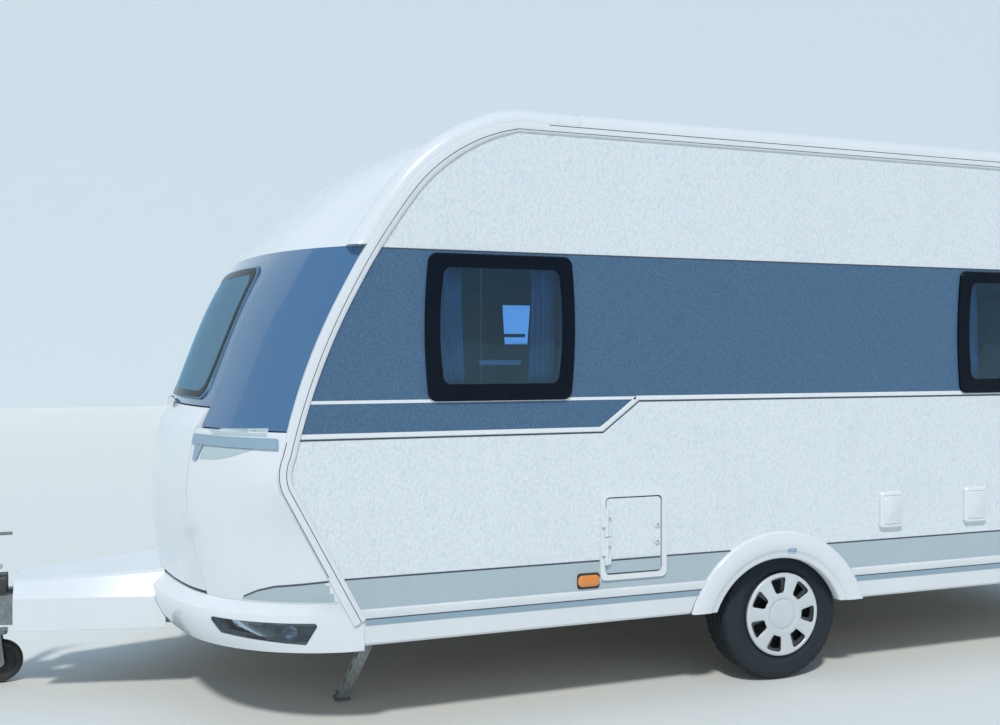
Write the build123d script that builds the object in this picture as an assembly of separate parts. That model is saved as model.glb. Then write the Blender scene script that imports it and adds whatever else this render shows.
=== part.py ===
from build123d import *
from math import atan2, cos, degrees, hypot, radians, sin, sqrt
import os

# Travel caravan on one axle, standing on its wheels, its jockey wheel and four corner steadies.
# X runs to the rear, Y to the kerb side with the entrance door, Z up from the ground.
# All sizes are in millimetres.

# Body
body_width = 2300
body_rear = 3275
rear_end = 3335
roof_height = 2588
wall = 34
roof_edge_radius = 60
roof_rear_radius = 160
eaves_height = roof_height - roof_edge_radius
floor_top = 500
floor_thickness = 47
wall_foot = 453
cap_seam = -400
joint_gap = 0.3
half_width = body_width / 2
inner_half = half_width - wall
floor_under = floor_top - floor_thickness

# Front edge line of the side walls, from the foot up to the eaves
edge_foot = (-1393, wall_foot)
edge_knee_low = (-1681, 1000)
edge_knee = (-1694, 1072)
edge_knee_high = (-1676, 1132)
edge_brow = (-1422, 1761)
edge_brow_mid = (-1273, 2020)
edge_shoulder = (-1108, 2251)
edge_shoulder_mid = (-951, 2418)
edge_eaves = (-700, eaves_height)
trim_width = 44
trim_proud = 9

# Front shell: height, centre line x at each level
lower_levels = [(548, -2096), (690, -2117), (869, -2133), (1005, -2128), (1124, -2114), (1235, -2090)]
shelf_levels = [(1235, -2090), (1322, -2032)]
window_levels = [(1240, -2068), (1322, -2032), (1560, -1942), (1788, -1848), (1985, -1735)]
nose_levels = [(1985, -1735), (2042, -1687), (2099, -1634), (2156, -1575), (2259, -1455), (2355, -1325),
               (2439, -1180), (2500, -1030), (eaves_height, -940)]
# Above the eaves the corner comes in with the roof edge: height, centre x, corner x
crown_levels = [(eaves_height, -940, -700), (2552, -850, -680), (2575, -720, -590), (roof_height, -560, -480)]
crown_half_width = 640
crown_depth = 95
crown_share = 0.22

# Locker lid in the middle of the front shell
lid_half_top = 712
lid_half_foot = 798
lid_flare_height = 960
lid_gap = 6
lid_foot_gap = 14
lid_swing = 80
waist_strip = (1170, 1212)
bulkhead_x = -1600

# Front bumper: height, centre x, corner x
bumper_levels = [(352, -2100, -1400), (400, -2132, -1400), (440, -2149, -1400), (505, -2152, -1400)]
ledge_levels = [(505, -2152, -1400), (547.7, -2097, -1459)]
bumper_wall = 25
bumper_joint = -1349
lamp_bearing = (-1730, -1003)
lamp_heading = (0.844, -0.535)
lamp_points = [(-241, 480), (241, 473), (187, 384), (-183, 414)]
lamp_depth = 60

# Skirts and wheel arches
skirt_foot = 370
skirt_groove = 477
skirt_top = 519
arch_x = 620
arch_z = 230
arch_opening = 362
arch_band = 490
arch_proud = 20
arch_lip = 40
well_clearance = 50
well_sheet = 10
well_inside = 866

# Running gear
axle_x = 675
tyre_radius = 312
tyre_width = 195
wheel_centre_y = 997
rim_radius = 198
swing_arm = 170
axle_tube_size = 88
axle_tube_end = 800
axle_tube_z = 272
backplate_face = 890
drum_radius = 112
cap_radius = 70
cover_holes = 7
hub_z = tyre_radius

# Chassis
rail_y = 560
rail_depth = 130
rail_flange = 50
rail_sheet = 6
rail_rear = 3080
rail_bend = -1150
rail_hole_count = 11
rail_hole_pitch = 330
cross_tubes = (-1080, 1500, 3000)
drawbar_front = -2960
drawbar_front_y = 48

# Coupling and jockey wheel
coupling_tip = -3335
ball_radius = 25
ball_clearance = 0.3
coupling_x = coupling_tip + 55
coupling_z = 440
shaft_z = 490
jockey_x = -2860
jockey_y = 140
jockey_wheel_radius = 100
jockey_wheel_width = 60
jockey_trail = 55
jockey_top = 640
housing_x = (-2960, -2760)
gaiter_ridges = 6

# Drawbar cover
cover_front = -2720
cover_rear = -2080
cover_half_front = 200
cover_half_rear = 352
cover_foot = 312
cover_fold = 456
cover_top = 562
cover_fall = 0.055
cover_sheet = 5

# Corner steadies
steady_pivot_z = 306
steady_lean = 150
steady_front_x = -1190
steady_rear_x = 2900
steady_y = 640
steady_swing = 60
steady_pin = 8
steady_table = [
    ("front_left", steady_front_x, -1, -steady_lean),
    ("front_right", steady_front_x, 1, -steady_lean),
    ("rear_left", steady_rear_x, -1, steady_lean),
    ("rear_right", steady_rear_x, 1, steady_lean),
]

# Windows: centre x, width, foot, head for each side
window_proud = 16
window_pane = 26
window_play = 4
left_windows = [(-765, 672, 1349, 1962), (2140, 950, 1349, 1962)]
right_windows = [(-1000, 420, 1349, 1962), (163, 380, 1575, 1880), (2140, 950, 1349, 1962)]
window_bow = 18
rear_window = (1300, 1349, 1962)
front_window_half = 640
front_window_foot = 1350
front_window_head = 1930

# Doors and hatches
door_x = (-700, -70)
door_z = (skirt_top, 2262)
door_gap = 6
door_swing = 170
service_x = (-307, 19)
service_z = (556, 943)
cassette_x = (1560, 1900)
cassette_z = (556, 900)
hatch_swing = 115
hatch_proud = 10
door_proud = 8
hinge_radius = 9
knuckle_length = 40
knuckle_tab = 22

# Rooflights: x, size of the hole
rooflights = [(1250, 700), (-150, 300), (2600, 300)]
rooflight_rise = 46

# Inlet covers: x range, z range; side markers: side, x range, z range
inlet_table = [(1188, 1321, 699, 877), (1707, 1850, 699, 878)]
marker_table = [(-1, -417, -307, 524, 597), (1, -860, -750, 524, 597),
                (-1, 2540, 2650, 524, 597), (1, 2540, 2650, 524, 597)]

# Rear lamps: y, width, foot, head
rear_lamp_table = [(930, 300, 470, 610), (640, 110, 485, 595)]

# Inside: x range, y range, z range, and whether the carcass is open to the floor or to a side wall
board = 18
furniture_table = [
    (-1230, -560, -1115, -520, 500.3, 900, "floor"),
    (-480, 220, -1115, -560, 500.3, 900, "left"),
    (420, 1300, -850, -480, 500.3, 1330, "floor"),
    (1500, 3220, -1115, 300, 500.3, 880, "floor"),
    (-1230, -790, 420, 1115, 500.3, 900, "floor"),
    (1140, 1480, 560, 1115, 500.3, 2440, "floor"),
    (-700, 3200, -1115.7, -830, 2080, 2380, "left"),
]
cassette_box = (1500, 1980, 420, 1115, 500.3, 930)
cushion_height = 110
cushion_table = [
    (-1220, -570, -1105, -530, 900.3),
    (-470, 210, -1105, -570, 900.3),
    (1510, 3210, -1105, 290, 880.3),
    (-1220, -800, 430, 1105, 900.3),
]
curtain_width = 110


def box(x0, x1, y0, y1, z0, z1):
    return Pos((x0 + x1) / 2, (y0 + y1) / 2, (z0 + z1) / 2) * Box(x1 - x0, y1 - y0, z1 - z0)


def across(sketch, y_low, y_high):
    # A sketch drawn in x and z, pushed along Y
    return extrude(Plane.XZ.offset(-y_high) * sketch, y_high - y_low)


def along(sketch, x_low, x_high):
    # A sketch drawn in y and z, pushed along X
    return extrude(Plane.YZ.offset(x_low) * sketch, x_high - x_low)


def upward(sketch, z_low, z_high):
    # A sketch drawn in x and y, pushed along Z
    return extrude(Plane.XY.offset(z_low) * sketch, z_high - z_low)


def outline(*points):
    return make_face(Polyline(*points, close=True))


def rounded(x0, x1, z0, z1, radius):
    return Pos((x0 + x1) / 2, (z0 + z1) / 2) * RectangleRounded(x1 - x0, z1 - z0, radius)


def arc_centre(first, middle, last):
    ax, az = first
    bx, bz = middle
    cx, cz = last
    d = 2 * (ax * (bz - cz) + bx * (cz - az) + cx * (az - bz))
    a2, b2, c2 = ax**2 + az**2, bx**2 + bz**2, cx**2 + cz**2
    ux = (a2 * (bz - cz) + b2 * (cz - az) + c2 * (az - bz)) / d
    uz = (a2 * (cx - bx) + b2 * (ax - cx) + c2 * (bx - ax)) / d
    return ux, uz, hypot(ax - ux, az - uz)


def edge_x(z):
    # The side wall's front edge at a height
    def on_line(low, high):
        return low[0] + (high[0] - low[0]) * (z - low[1]) / (high[1] - low[1])

    def on_arc(first, middle, last):
        ux, uz, r = arc_centre(first, middle, last)
        side = -1 if middle[0] < ux else 1
        return ux + side * sqrt(max(r**2 - (z - uz)**2, 0))

    if z <= edge_knee_low[1]:
        return on_line(edge_foot, edge_knee_low)
    if z <= edge_knee_high[1]:
        return on_arc(edge_knee_low, edge_knee, edge_knee_high)
    if z <= edge_brow[1]:
        return on_line(edge_knee_high, edge_brow)
    if z <= edge_shoulder[1]:
        return on_arc(edge_brow, edge_brow_mid, edge_shoulder)
    return on_arc(edge_shoulder, edge_shoulder_mid, edge_eaves)


def wall_outline(foot, rear):
    # The flat side wall from its front edge line to its rear edge
    front = [
        Line(edge_foot, edge_knee_low),
        ThreePointArc(edge_knee_low, edge_knee, edge_knee_high),
        Line(edge_knee_high, edge_brow),
        ThreePointArc(edge_brow, edge_brow_mid, edge_shoulder),
        ThreePointArc(edge_shoulder, edge_shoulder_mid, edge_eaves),
        Line(edge_eaves, (rear, eaves_height)),
        Line((rear, eaves_height), (rear, foot)),
        Line((rear, foot), edge_foot),
    ]
    return make_face(front)


def front_curve(z, centre_x, corner_x, corner_y, back_x):
    # One level of the front shell: a crowned middle, a tighter arc to each corner, straight sides
    depth = corner_x - centre_x
    crown = min(crown_depth, crown_share * depth)
    start = 2 * atan2(crown, crown_half_width)
    run = corner_y - crown_half_width
    rise = depth - crown
    chord = atan2(rise, run)
    radius = hypot(run, rise) / (2 * sin(chord - start))
    half_turn = start + (chord - start)
    mid_y = crown_half_width + radius * (sin(half_turn) - sin(start))
    mid_x = centre_x + crown + radius * (cos(start) - cos(half_turn))
    shoulder_x = centre_x + crown
    return make_face([
        ThreePointArc((shoulder_x, -crown_half_width, z), (centre_x, 0, z), (shoulder_x, crown_half_width, z)),
        ThreePointArc((shoulder_x, crown_half_width, z), (mid_x, mid_y, z), (corner_x, corner_y, z)),
        Line((corner_x, corner_y, z), (back_x, corner_y, z)),
        Line((back_x, corner_y, z), (back_x, -corner_y, z)),
        Line((back_x, -corner_y, z), (corner_x, -corner_y, z)),
        ThreePointArc((corner_x, -corner_y, z), (mid_x, -mid_y, z), (shoulder_x, -crown_half_width, z)),
    ])


def front_body(rows, back_x, inset=0, drop=0, ruled=False):
    # Lofts the levels; an inset draws the inside face of a wall
    low = rows[0][0]
    high = rows[-1][0]
    corners = [row[2] if len(row) > 2 else edge_x(row[0]) for row in rows]
    rear_x = max(back_x, max(corners) + inset + 10)
    faces = []
    for row in rows:
        z, centre_x = row[0], row[1]
        corner_x = row[2] if len(row) > 2 else edge_x(z)
        corner_y = half_width
        if z > eaves_height:
            rise = z - eaves_height
            corner_y = half_width - roof_edge_radius + sqrt(max(roof_edge_radius**2 - rise**2, 0))
        level = z - drop * (z - low) / (high - low)
        faces.append(front_curve(level, centre_x + inset, corner_x + inset, corner_y - inset, rear_x))
    return loft(faces, ruled=ruled)


def front_skin(rows, back_x, thickness, drop=0, ruled=False):
    outer = front_body(rows, back_x, ruled=ruled)
    inner = front_body(rows, back_x, thickness, drop, ruled)
    return outer - inner


def window_shape(width, foot, head, grow=0):
    # Straight head and foot, sides that bow out a little
    w = width / 2 + grow
    z0, z1 = foot - grow, head + grow
    bow = window_bow
    face = make_face([
        Line((-w + bow, z0), (w - bow, z0)),
        ThreePointArc((w - bow, z0), (w, (z0 + z1) / 2), (w - bow, z1)),
        Line((w - bow, z1), (-w + bow, z1)),
        ThreePointArc((-w + bow, z1), (-w, (z0 + z1) / 2), (-w + bow, z0)),
    ])
    return fillet(face.vertices(), 36 + grow)


def lid_outline(gap, foot_gap):
    # Front view of the locker lid, with its gaps to the cheeks and to the bumper
    top = lid_half_top - gap
    z_foot = lower_levels[0][0] + foot_gap
    flare = (lid_half_foot - lid_half_top) / (lid_flare_height - lower_levels[0][0])
    foot = top + flare * (lid_flare_height - z_foot)
    z_top = shelf_levels[-1][0] - gap
    points = [(-foot, z_foot), (foot, z_foot), (top, lid_flare_height), (top, z_top)]
    return outline(*points, (-top, z_top), (-top, lid_flare_height))


parts = {}


def put(name, *shapes):
    # One node from one or more solids
    solids = [solid for shape in shapes for solid in shape.solids()]
    parts[name] = solids[0] if len(solids) == 1 else Compound(children=solids)


def centre_at(rows, z):
    # Centre line x between two levels
    for low, high in zip(rows, rows[1:]):
        if low[0] <= z <= high[0]:
            return low[1] + (high[1] - low[1]) * (z - low[0]) / (high[0] - low[0])
    return rows[-1][1]


def knuckles(pin, turned, side, frame_face, leaf_face):
    # Fixed middle knuckle and moving end knuckles of one hinge, with the tabs that carry them
    x, y, z = pin
    bar = Cylinder(hinge_radius, knuckle_length)
    if turned:
        fixed = Pos(x, y, z) * Rot(90, 0, 0) * bar + frame_face
        moving = leaf_face
        for end in (-1, 1):
            place = Pos(x, y + end * (knuckle_length + joint_gap), z)
            moving = moving + place * Rot(90, 0, 0) * bar
        return fixed, moving
    near, far = sorted((frame_face - side, y))
    half = knuckle_length / 2
    fixed = Pos(x, y, z) * bar + box(x - knuckle_tab, x, near, far, z - half, z + half)
    near, far = sorted((leaf_face - side, y))
    moving = []
    for end in (-1, 1):
        middle = z + end * (knuckle_length + joint_gap)
        moving.append(Pos(x, y, middle) * bar)
        moving.append(box(x, x + knuckle_tab, near, far, middle - half, middle + half))
    return fixed, moving


# Side walls, with every opening cut through them
wall_end = body_rear - roof_edge_radius
rear_corner_x = body_rear - roof_rear_radius
rear_corner_z = roof_height - roof_rear_radius
wall_face = wall_outline(wall_foot, wall_end)
wall_face = wall_face - rounded(rear_corner_x, body_rear + 1, rear_corner_z - joint_gap, roof_height, 1)
wall_face = wall_face - Pos(arch_x, arch_z) * Circle(arch_opening + arch_lip)
slab = across(wall_outline(wall_foot, wall_end), -half_width - 60, -inner_half + 4)
wall_slabs = slab + mirror(slab, Plane.XZ)


def side_wall(side, windows, cuts):
    face = wall_face
    for centre, width, foot, head in windows:
        face = face - Pos(centre, 0) * window_shape(width, foot, head)
    for x0, x1, z0, z1, radius in cuts:
        face = face - rounded(x0, x1, z0, z1, radius)
    if side < 0:
        return across(face, -half_width, -inner_half)
    return across(face, inner_half, half_width)


hatch_inset = 24
door_cut = (*door_x, *door_z, 60)
service_cut = (service_x[0] + hatch_inset, service_x[1] - hatch_inset,
               service_z[0] + hatch_inset, service_z[1] - hatch_inset, 20)
cassette_cut = (cassette_x[0] + hatch_inset, cassette_x[1] - hatch_inset,
                cassette_z[0] + hatch_inset, cassette_z[1] - hatch_inset, 20)
left_wall = side_wall(-1, left_windows, [service_cut])
right_wall = side_wall(1, right_windows, [door_cut, cassette_cut])

# Entrance door in the right wall, hinged at its front edge, with its window
door_leaf = (door_x[0] + door_gap, door_x[1] - door_gap, door_z[0] + door_gap, door_z[1] - door_gap, 54)
door_pane = (330, 1480, 1960)
door_middle = (door_x[0] + door_x[1]) / 2
door_face = rounded(*door_leaf) - Pos(door_middle, 0) * window_shape(*door_pane)
door = across(door_face, inner_half, half_width + door_proud)
door_pin = (door_x[0] + 3, half_width + door_proud + hinge_radius + 0.5)
for z in (820, 1920):
    fixed, moving = knuckles((*door_pin, z), False, 1, half_width, half_width + door_proud)
    right_wall = right_wall + fixed
    for piece in moving:
        door = door + piece
put("entrance_door", door)
put("door_window", across(Pos(door_middle, 0) * window_shape(*door_pane, -joint_gap),
                          inner_half + 6, half_width + door_proud + 6))
put("side_wall_left", left_wall)
put("side_wall_right", right_wall)


def hatch(side, x_range, z_range):
    # A framed leaf, hinged at its front edge
    x0, x1 = x_range
    z0, z1 = z_range
    frame_face = half_width + hatch_proud
    ring = rounded(x0, x1, z0, z1, 26) - rounded(x0 + hatch_inset, x1 - hatch_inset,
                                                 z0 + hatch_inset, z1 - hatch_inset, 20)
    reach = hatch_inset + door_gap
    leaf = rounded(x0 + reach, x1 - reach, z0 + reach, z1 - reach, 16)
    frame = across(ring, half_width + joint_gap, frame_face)
    leaf = across(leaf, inner_half, frame_face - 3)
    pin = (x0 + hatch_inset + 1, frame_face + hinge_radius + 0.5)
    span = z1 - z0
    for z in (z0 + 0.34 * span, z0 + 0.66 * span):
        fixed, moving = knuckles((*pin, z), False, 1, frame_face, frame_face - 3)
        frame = frame + fixed
        for piece in moving:
            leaf = leaf + piece
    if side < 0:
        return mirror(frame, Plane.XZ), mirror(leaf, Plane.XZ)
    return frame, leaf


service_frame, service_leaf = hatch(-1, service_x, service_z)
cassette_frame, cassette_leaf = hatch(1, cassette_x, cassette_z)
put("hatch_frames", service_frame, cassette_frame)
put("service_hatch", service_leaf)
put("cassette_hatch", cassette_leaf)

# Roof sheet and rear wall, cut from one rounded box
shell_front = cap_seam + joint_gap
outer_box = box(shell_front, body_rear, -half_width, half_width, wall_foot, roof_height)
rear_top = outer_box.edges().filter_by(Axis.Y).group_by(Axis.X)[-1].sort_by(Axis.Z)[-1]
outer_box = fillet(rear_top, roof_rear_radius)
side_edges = [edge for edge in outer_box.edges()
              if abs(abs(edge.center().Y) - half_width) < 1
              and edge.center().Z > wall_foot + 1 and edge.center().X > shell_front + 1]
outer_box = fillet(side_edges, roof_edge_radius)
inner_box = box(shell_front, body_rear - wall, -inner_half, inner_half, wall_foot, roof_height - wall)
shell = outer_box - inner_box
roof_zone = box(shell_front, body_rear, -half_width, half_width, eaves_height + joint_gap, roof_height)
roof_zone = roof_zone + box(rear_corner_x + joint_gap, body_rear, -half_width, half_width,
                            rear_corner_z, roof_height)
roof = shell & roof_zone
for x, size in rooflights:
    roof = roof - box(x - size / 2, x + size / 2, -size / 2, size / 2, roof_height - 2 * wall, roof_height + 1)
put("roof", roof)
rear_zone = box(wall_end + joint_gap, body_rear, -half_width, half_width,
                wall_foot, rear_corner_z - joint_gap)
rear_wall = (shell & rear_zone) - along(window_shape(*rear_window), body_rear - 100, body_rear + 1)
put("rear_wall", rear_wall)

# Rooflights: a frame through the roof and a domed lid
domes = []
for x, size in rooflights:
    reach = size / 2 - joint_gap
    neck = upward(Pos(x, 0) * Rectangle(2 * reach, 2 * reach), roof_height - wall, roof_height + 1)
    dome = upward(Pos(x, 0) * RectangleRounded(size + 90, size + 90, 60),
                  roof_height + joint_gap, roof_height + rooflight_rise)
    dome = chamfer(dome.edges().group_by(Axis.Z)[-1], rooflight_rise - 14, rooflight_rise + 14)
    domes.append(dome + neck)
put("rooflights", *domes)

# Front shell: locker lid and cheeks below, window surround and corner panels, roof nose on top
lower_outer = front_body(lower_levels, cap_seam)
lower_skin = lower_outer - front_body(lower_levels, cap_seam, wall) - wall_slabs
lid_prism = along(lid_outline(lid_gap, lid_foot_gap), -2400, -1500)
lid_hole = along(lid_outline(0, -20), -2400, -1500)
shelf_skin = front_skin(shelf_levels, cap_seam, wall, ruled=True)
lid = (lower_skin + shelf_skin) & lid_prism
window_outer = front_body(window_levels, cap_seam)
window_skin = window_outer - front_body(window_levels, cap_seam, wall) - wall_slabs
above_lid = box(-2400, -1000, -lid_half_top, lid_half_top, shelf_levels[-1][0], window_levels[-1][0])
panel_zone = box(-2400, -1000, lid_half_top + joint_gap, half_width + 1, window_levels[0][0],
                 window_levels[-1][0])
panel_zone = panel_zone + mirror(panel_zone, Plane.XZ)
front_opening = rounded(-front_window_half, front_window_half, front_window_foot, front_window_head, 60)
surround = (window_skin & above_lid) - along(front_opening, -2400, -1000)
lid_pin = (shelf_levels[-1][1] - 9, shelf_levels[-1][0] + 9)
for y in (-160, 160):
    x, z = lid_pin
    half = knuckle_length / 2
    bridge = box(x, x + 26, y - half, y + half, z - 2, z + 6)
    ends = []
    for end in (-1, 1):
        middle = y + end * (knuckle_length + joint_gap)
        ends.append(box(x - 6, x + 2, middle - half, middle + half, z - 44, z))
    fixed, moving = knuckles((x, y, z), True, 0, bridge, ends[0] + ends[1])
    surround = surround + fixed
    lid = lid + moving
put("front_window_surround", surround)
put("gas_locker_lid", lid)
put("front_cheeks", lower_skin - lid_hole)
put("corner_panels", window_skin & panel_zone)
pane_outer = front_body(window_levels, cap_seam, -window_proud / 2)
pane_skin = pane_outer - front_body(window_levels, cap_seam, window_pane - window_proud)
pane_shape = rounded(-front_window_half + joint_gap, front_window_half - joint_gap,
                     front_window_foot + joint_gap, front_window_head - joint_gap, 60)
put("front_window", pane_skin & along(pane_shape, -2400, -1000))
nose_outer = front_body(nose_levels, cap_seam) + front_body(crown_levels, cap_seam)
nose_inner = front_body(nose_levels, cap_seam, wall) + front_body(crown_levels, cap_seam, wall, wall)
nose_slab = across(offset(wall_outline(wall_foot, wall_end), 2 * joint_gap), -half_width - 60, -inner_half + 4)
nose_slab = nose_slab + box(edge_eaves[0] - 4, cap_seam + 1, -half_width - 60, -inner_half + 4,
                            eaves_height - 8, eaves_height + 2 * joint_gap)
put("roof_nose", nose_outer - nose_inner - nose_slab - mirror(nose_slab, Plane.XZ))

# Waist strips round the front corners
strip_rows = [(z, centre_at(lower_levels, z)) for z in waist_strip]
strip = front_body(strip_rows, edge_x(waist_strip[0]) + 60, -8, ruled=True) - lower_outer
strip_zone = box(-2400, edge_x(waist_strip[0]) - 30, -half_width, -lid_half_top - lid_gap, *waist_strip)
strip = (strip & strip_zone).solids().sort_by(SortBy.VOLUME)[-1]
put("waist_strips", strip, mirror(strip, Plane.XZ))

# Front bumper with its lamp openings, and the lamp units
bumper_outer = front_body(bumper_levels, bumper_joint) + front_body(ledge_levels, bumper_joint, ruled=True)
bumper_inner = front_body(bumper_levels, bumper_joint, bumper_wall)
ledge_inner = front_body(ledge_levels, bumper_joint, 90, ruled=True)
lamp_plane = Plane(origin=(*lamp_bearing, 0), x_dir=(*lamp_heading, 0),
                   z_dir=(lamp_heading[1], -lamp_heading[0], 0))


def lamp_prism(shrink):
    face = outline(*lamp_points)
    face = fillet(face.vertices(), 12)
    if shrink:
        face = offset(face, -shrink)
    return extrude(lamp_plane * face, 240, both=True)


lamp_cut = lamp_prism(0)
bumper = bumper_outer - bumper_inner - ledge_inner - lamp_cut - mirror(lamp_cut, Plane.XZ)
drawbar_notch = along(rounded(-cover_half_rear + 20, cover_half_rear - 20, 0, cover_fold + 6, 20), -2400, -2000)
bumper = bumper - drawbar_notch - wall_slabs
put("front_bumper", bumper)
lens = front_body(bumper_levels, bumper_joint, 8) - front_body(bumper_levels, bumper_joint, bumper_wall - 1)
lens = lens & lamp_prism(joint_gap)
put("front_lamps", lens, mirror(lens, Plane.XZ))

# Edge trims that run up the front edge and on as the awning rail
full_face = wall_outline(wall_foot, wall_end)
trim_face = full_face - offset(full_face, -trim_width, kind=Kind.INTERSECTION)
trim_face = trim_face - rounded(-600, body_rear + 1, 0, eaves_height - trim_width, 1)
trim_face = trim_face - rounded(bumper_joint, 0, 0, 1000, 1)
trim = across(trim_face, half_width + joint_gap, half_width + trim_proud)
trim = trim.solids().sort_by(SortBy.VOLUME)[-1]
put("edge_trims", trim, mirror(trim, Plane.XZ))

# Skirts below the side walls, broken by the wheel arches and the entrance door
skirt_profile = outline(
    (half_width + joint_gap, skirt_top), (half_width + 7, skirt_top), (half_width + 7, skirt_groove + 5),
    (half_width + 2, skirt_groove), (half_width + 4, skirt_groove - 5), (half_width - 2, skirt_foot + 10),
    (half_width - 9, skirt_foot), (half_width - 30, skirt_foot), (half_width - 30, wall_foot - joint_gap),
    (half_width + joint_gap, wall_foot - joint_gap))
arch_hole = across(Pos(arch_x, arch_z) * Circle(arch_band + 2), half_width - 100, half_width + 100)
skirt = along(skirt_profile, bumper_joint + joint_gap, wall_end) - arch_hole
put("skirts", skirt, mirror(skirt, Plane.XZ))

# Wheel arch mouldings: a flat band on the wall with a lip into its opening
band = Circle(arch_band) - Circle(arch_opening)
band = across(Pos(arch_x, arch_z) * band, half_width + joint_gap, half_width + arch_proud)
lip = Circle(arch_opening + arch_lip - joint_gap) - Circle(arch_opening)
lip = across(Pos(arch_x, arch_z) * lip, inner_half, half_width + joint_gap)
below = Circle(arch_band) - Circle(arch_opening)
below = across(Pos(arch_x, arch_z) * below, half_width - 30, half_width + joint_gap)
below = below & box(0, 2 * arch_x, 0, half_width * 2, skirt_foot - 20, wall_foot - joint_gap)
arch = band + lip + below - box(0, 2 * arch_x, 0, half_width * 2, arch_z - arch_band - 1, skirt_foot)
arch = fillet(arch.edges().filter_by(GeomType.CIRCLE).group_by(Axis.Y)[-1], 8)
put("wheel_arches", arch, mirror(arch, Plane.XZ))

# Wheel boxes over the tyres
well_radius = tyre_radius + well_clearance
well = Circle(well_radius + well_sheet) - Circle(well_radius)
well = across(Pos(axle_x, hub_z) * well, well_inside, inner_half - joint_gap)
well = well + across(Pos(axle_x, hub_z) * Circle(well_radius + well_sheet), well_inside - well_sheet, well_inside)
well = well & box(0, 2 * axle_x, 0, half_width, wall_foot - 60, roof_height)
put("wheel_boxes", well, mirror(well, Plane.XZ))

# Floor, cut round the wheel boxes
locker_rows = [(wall_foot, bumper_levels[1][1] + bumper_wall + 20, -1320), (floor_top, -2087, -1320)]
floor_plan = make_face(front_curve(0, locker_rows[0][1], edge_foot[0] + 40, inner_half - joint_gap,
                                   body_rear - wall - joint_gap).edges())
floor = upward(floor_plan, wall_foot, floor_top)
well_reach = well_radius + well_sheet + joint_gap
for side in (-1, 1):
    y0, y1 = sorted((side * (well_inside - well_sheet - joint_gap), side * half_width))
    floor = floor - box(axle_x - well_reach, axle_x + well_reach, y0, y1, 0, roof_height)
put("floor", floor)

# Gas locker bulkhead behind the lid
bulkhead = box(bulkhead_x, bulkhead_x + 20, -980, 980, floor_top + joint_gap, 1230)
put("locker_bulkhead", bulkhead)

# Fixed windows in the walls
for side, name, windows in ((-1, "windows_left", left_windows), (1, "windows_right", right_windows)):
    panes = []
    for centre, width, foot, head in windows:
        shape = Pos(centre, 0) * window_shape(width, foot, head, -joint_gap)
        if side < 0:
            panes.append(across(shape, -half_width - window_proud, -half_width - window_proud + window_pane))
        else:
            panes.append(across(shape, half_width + window_proud - window_pane, half_width + window_proud))
    put(name, *panes)
put("rear_window", along(window_shape(*rear_window, -joint_gap), body_rear + window_proud - window_pane,
                         body_rear + window_proud))

# Rear bumper with its lamp units
rear_profile = outline((body_rear + joint_gap, 720), (body_rear + 34, 700), (rear_end, 640), (rear_end, 430),
                       (rear_end - 22, skirt_foot), (wall_end + joint_gap, skirt_foot),
                       (wall_end + joint_gap, wall_foot - joint_gap),
                       (body_rear + joint_gap, wall_foot - joint_gap))
rear_bumper = across(rear_profile, -half_width + 4, half_width - 4)
rear_corner_edges = rear_bumper.edges().filter_by(Axis.Z).group_by(Axis.X)[-1]
rear_bumper = fillet(rear_corner_edges, 40)
lamp_units = []
for side in (-1, 1):
    for y, width, foot, head in rear_lamp_table:
        shape = rounded(side * y - width / 2, side * y + width / 2, foot, head, 24)
        rear_bumper = rear_bumper - along(shape, rear_end - 22, rear_end + 1)
        shape = rounded(side * y - width / 2 + joint_gap, side * y + width / 2 - joint_gap,
                        foot + joint_gap, head - joint_gap, 24)
        lamp_units.append(along(shape, rear_end - 22 + joint_gap, rear_end - 4))
put("rear_bumper", rear_bumper)
put("rear_lamps", *lamp_units)

# Inlet covers, side marker lamps
covers = []
for x0, x1, z0, z1 in inlet_table:
    cover = across(rounded(x0, x1, z0, z1, 18), -half_width - 22, -half_width - joint_gap)
    covers.append(chamfer(cover.edges().group_by(Axis.Y)[0], 8))
put("inlet_covers", *covers)
markers = []
for side, x0, x1, z0, z1 in marker_table:
    marker = across(rounded(x0, x1, z0, z1, 12), half_width + joint_gap, half_width + 18)
    markers.append(marker if side > 0 else mirror(marker, Plane.XZ))
put("side_markers", *markers)

# Chassis: two channels that meet at the drawbar, three cross tubes
rail_top = wall_foot - joint_gap


def channel(length):
    # A channel along X that opens towards the middle of the caravan
    web = box(0, length, -rail_sheet, 0, -rail_depth, 0)
    flanges = box(0, length, -rail_flange, 0, -rail_sheet, 0)
    flanges = flanges + box(0, length, -rail_flange, 0, -rail_depth, -rail_depth + rail_sheet)
    return web + flanges


rail = Pos(rail_bend, rail_y, rail_top) * channel(rail_rear - rail_bend)
for step in range(rail_hole_count):
    x = rail_bend + 380 + step * rail_hole_pitch
    rail = rail - Pos(x, rail_y, rail_top - rail_depth / 2) * Rot(90, 0, 0) * Cylinder(34, 3 * rail_sheet)
slope = atan2(rail_y - drawbar_front_y, rail_bend - drawbar_front)
beam_length = hypot(rail_y - drawbar_front_y, rail_bend - drawbar_front)
beam = Pos(drawbar_front, drawbar_front_y, rail_top) * Rot(0, 0, degrees(slope)) * channel(beam_length + 8)
frame = rail + beam
frame = frame + mirror(frame, Plane.XZ)
for x in cross_tubes:
    frame = frame + box(x - 30, x + 30, -rail_y + 2, rail_y - 2, rail_top - 90, rail_top - 30)
nose_plate = box(drawbar_front, drawbar_front + 170, -drawbar_front_y - 8, drawbar_front_y + 8,
                 rail_top - rail_sheet, rail_top)
put("chassis_frame", frame + nose_plate)

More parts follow.
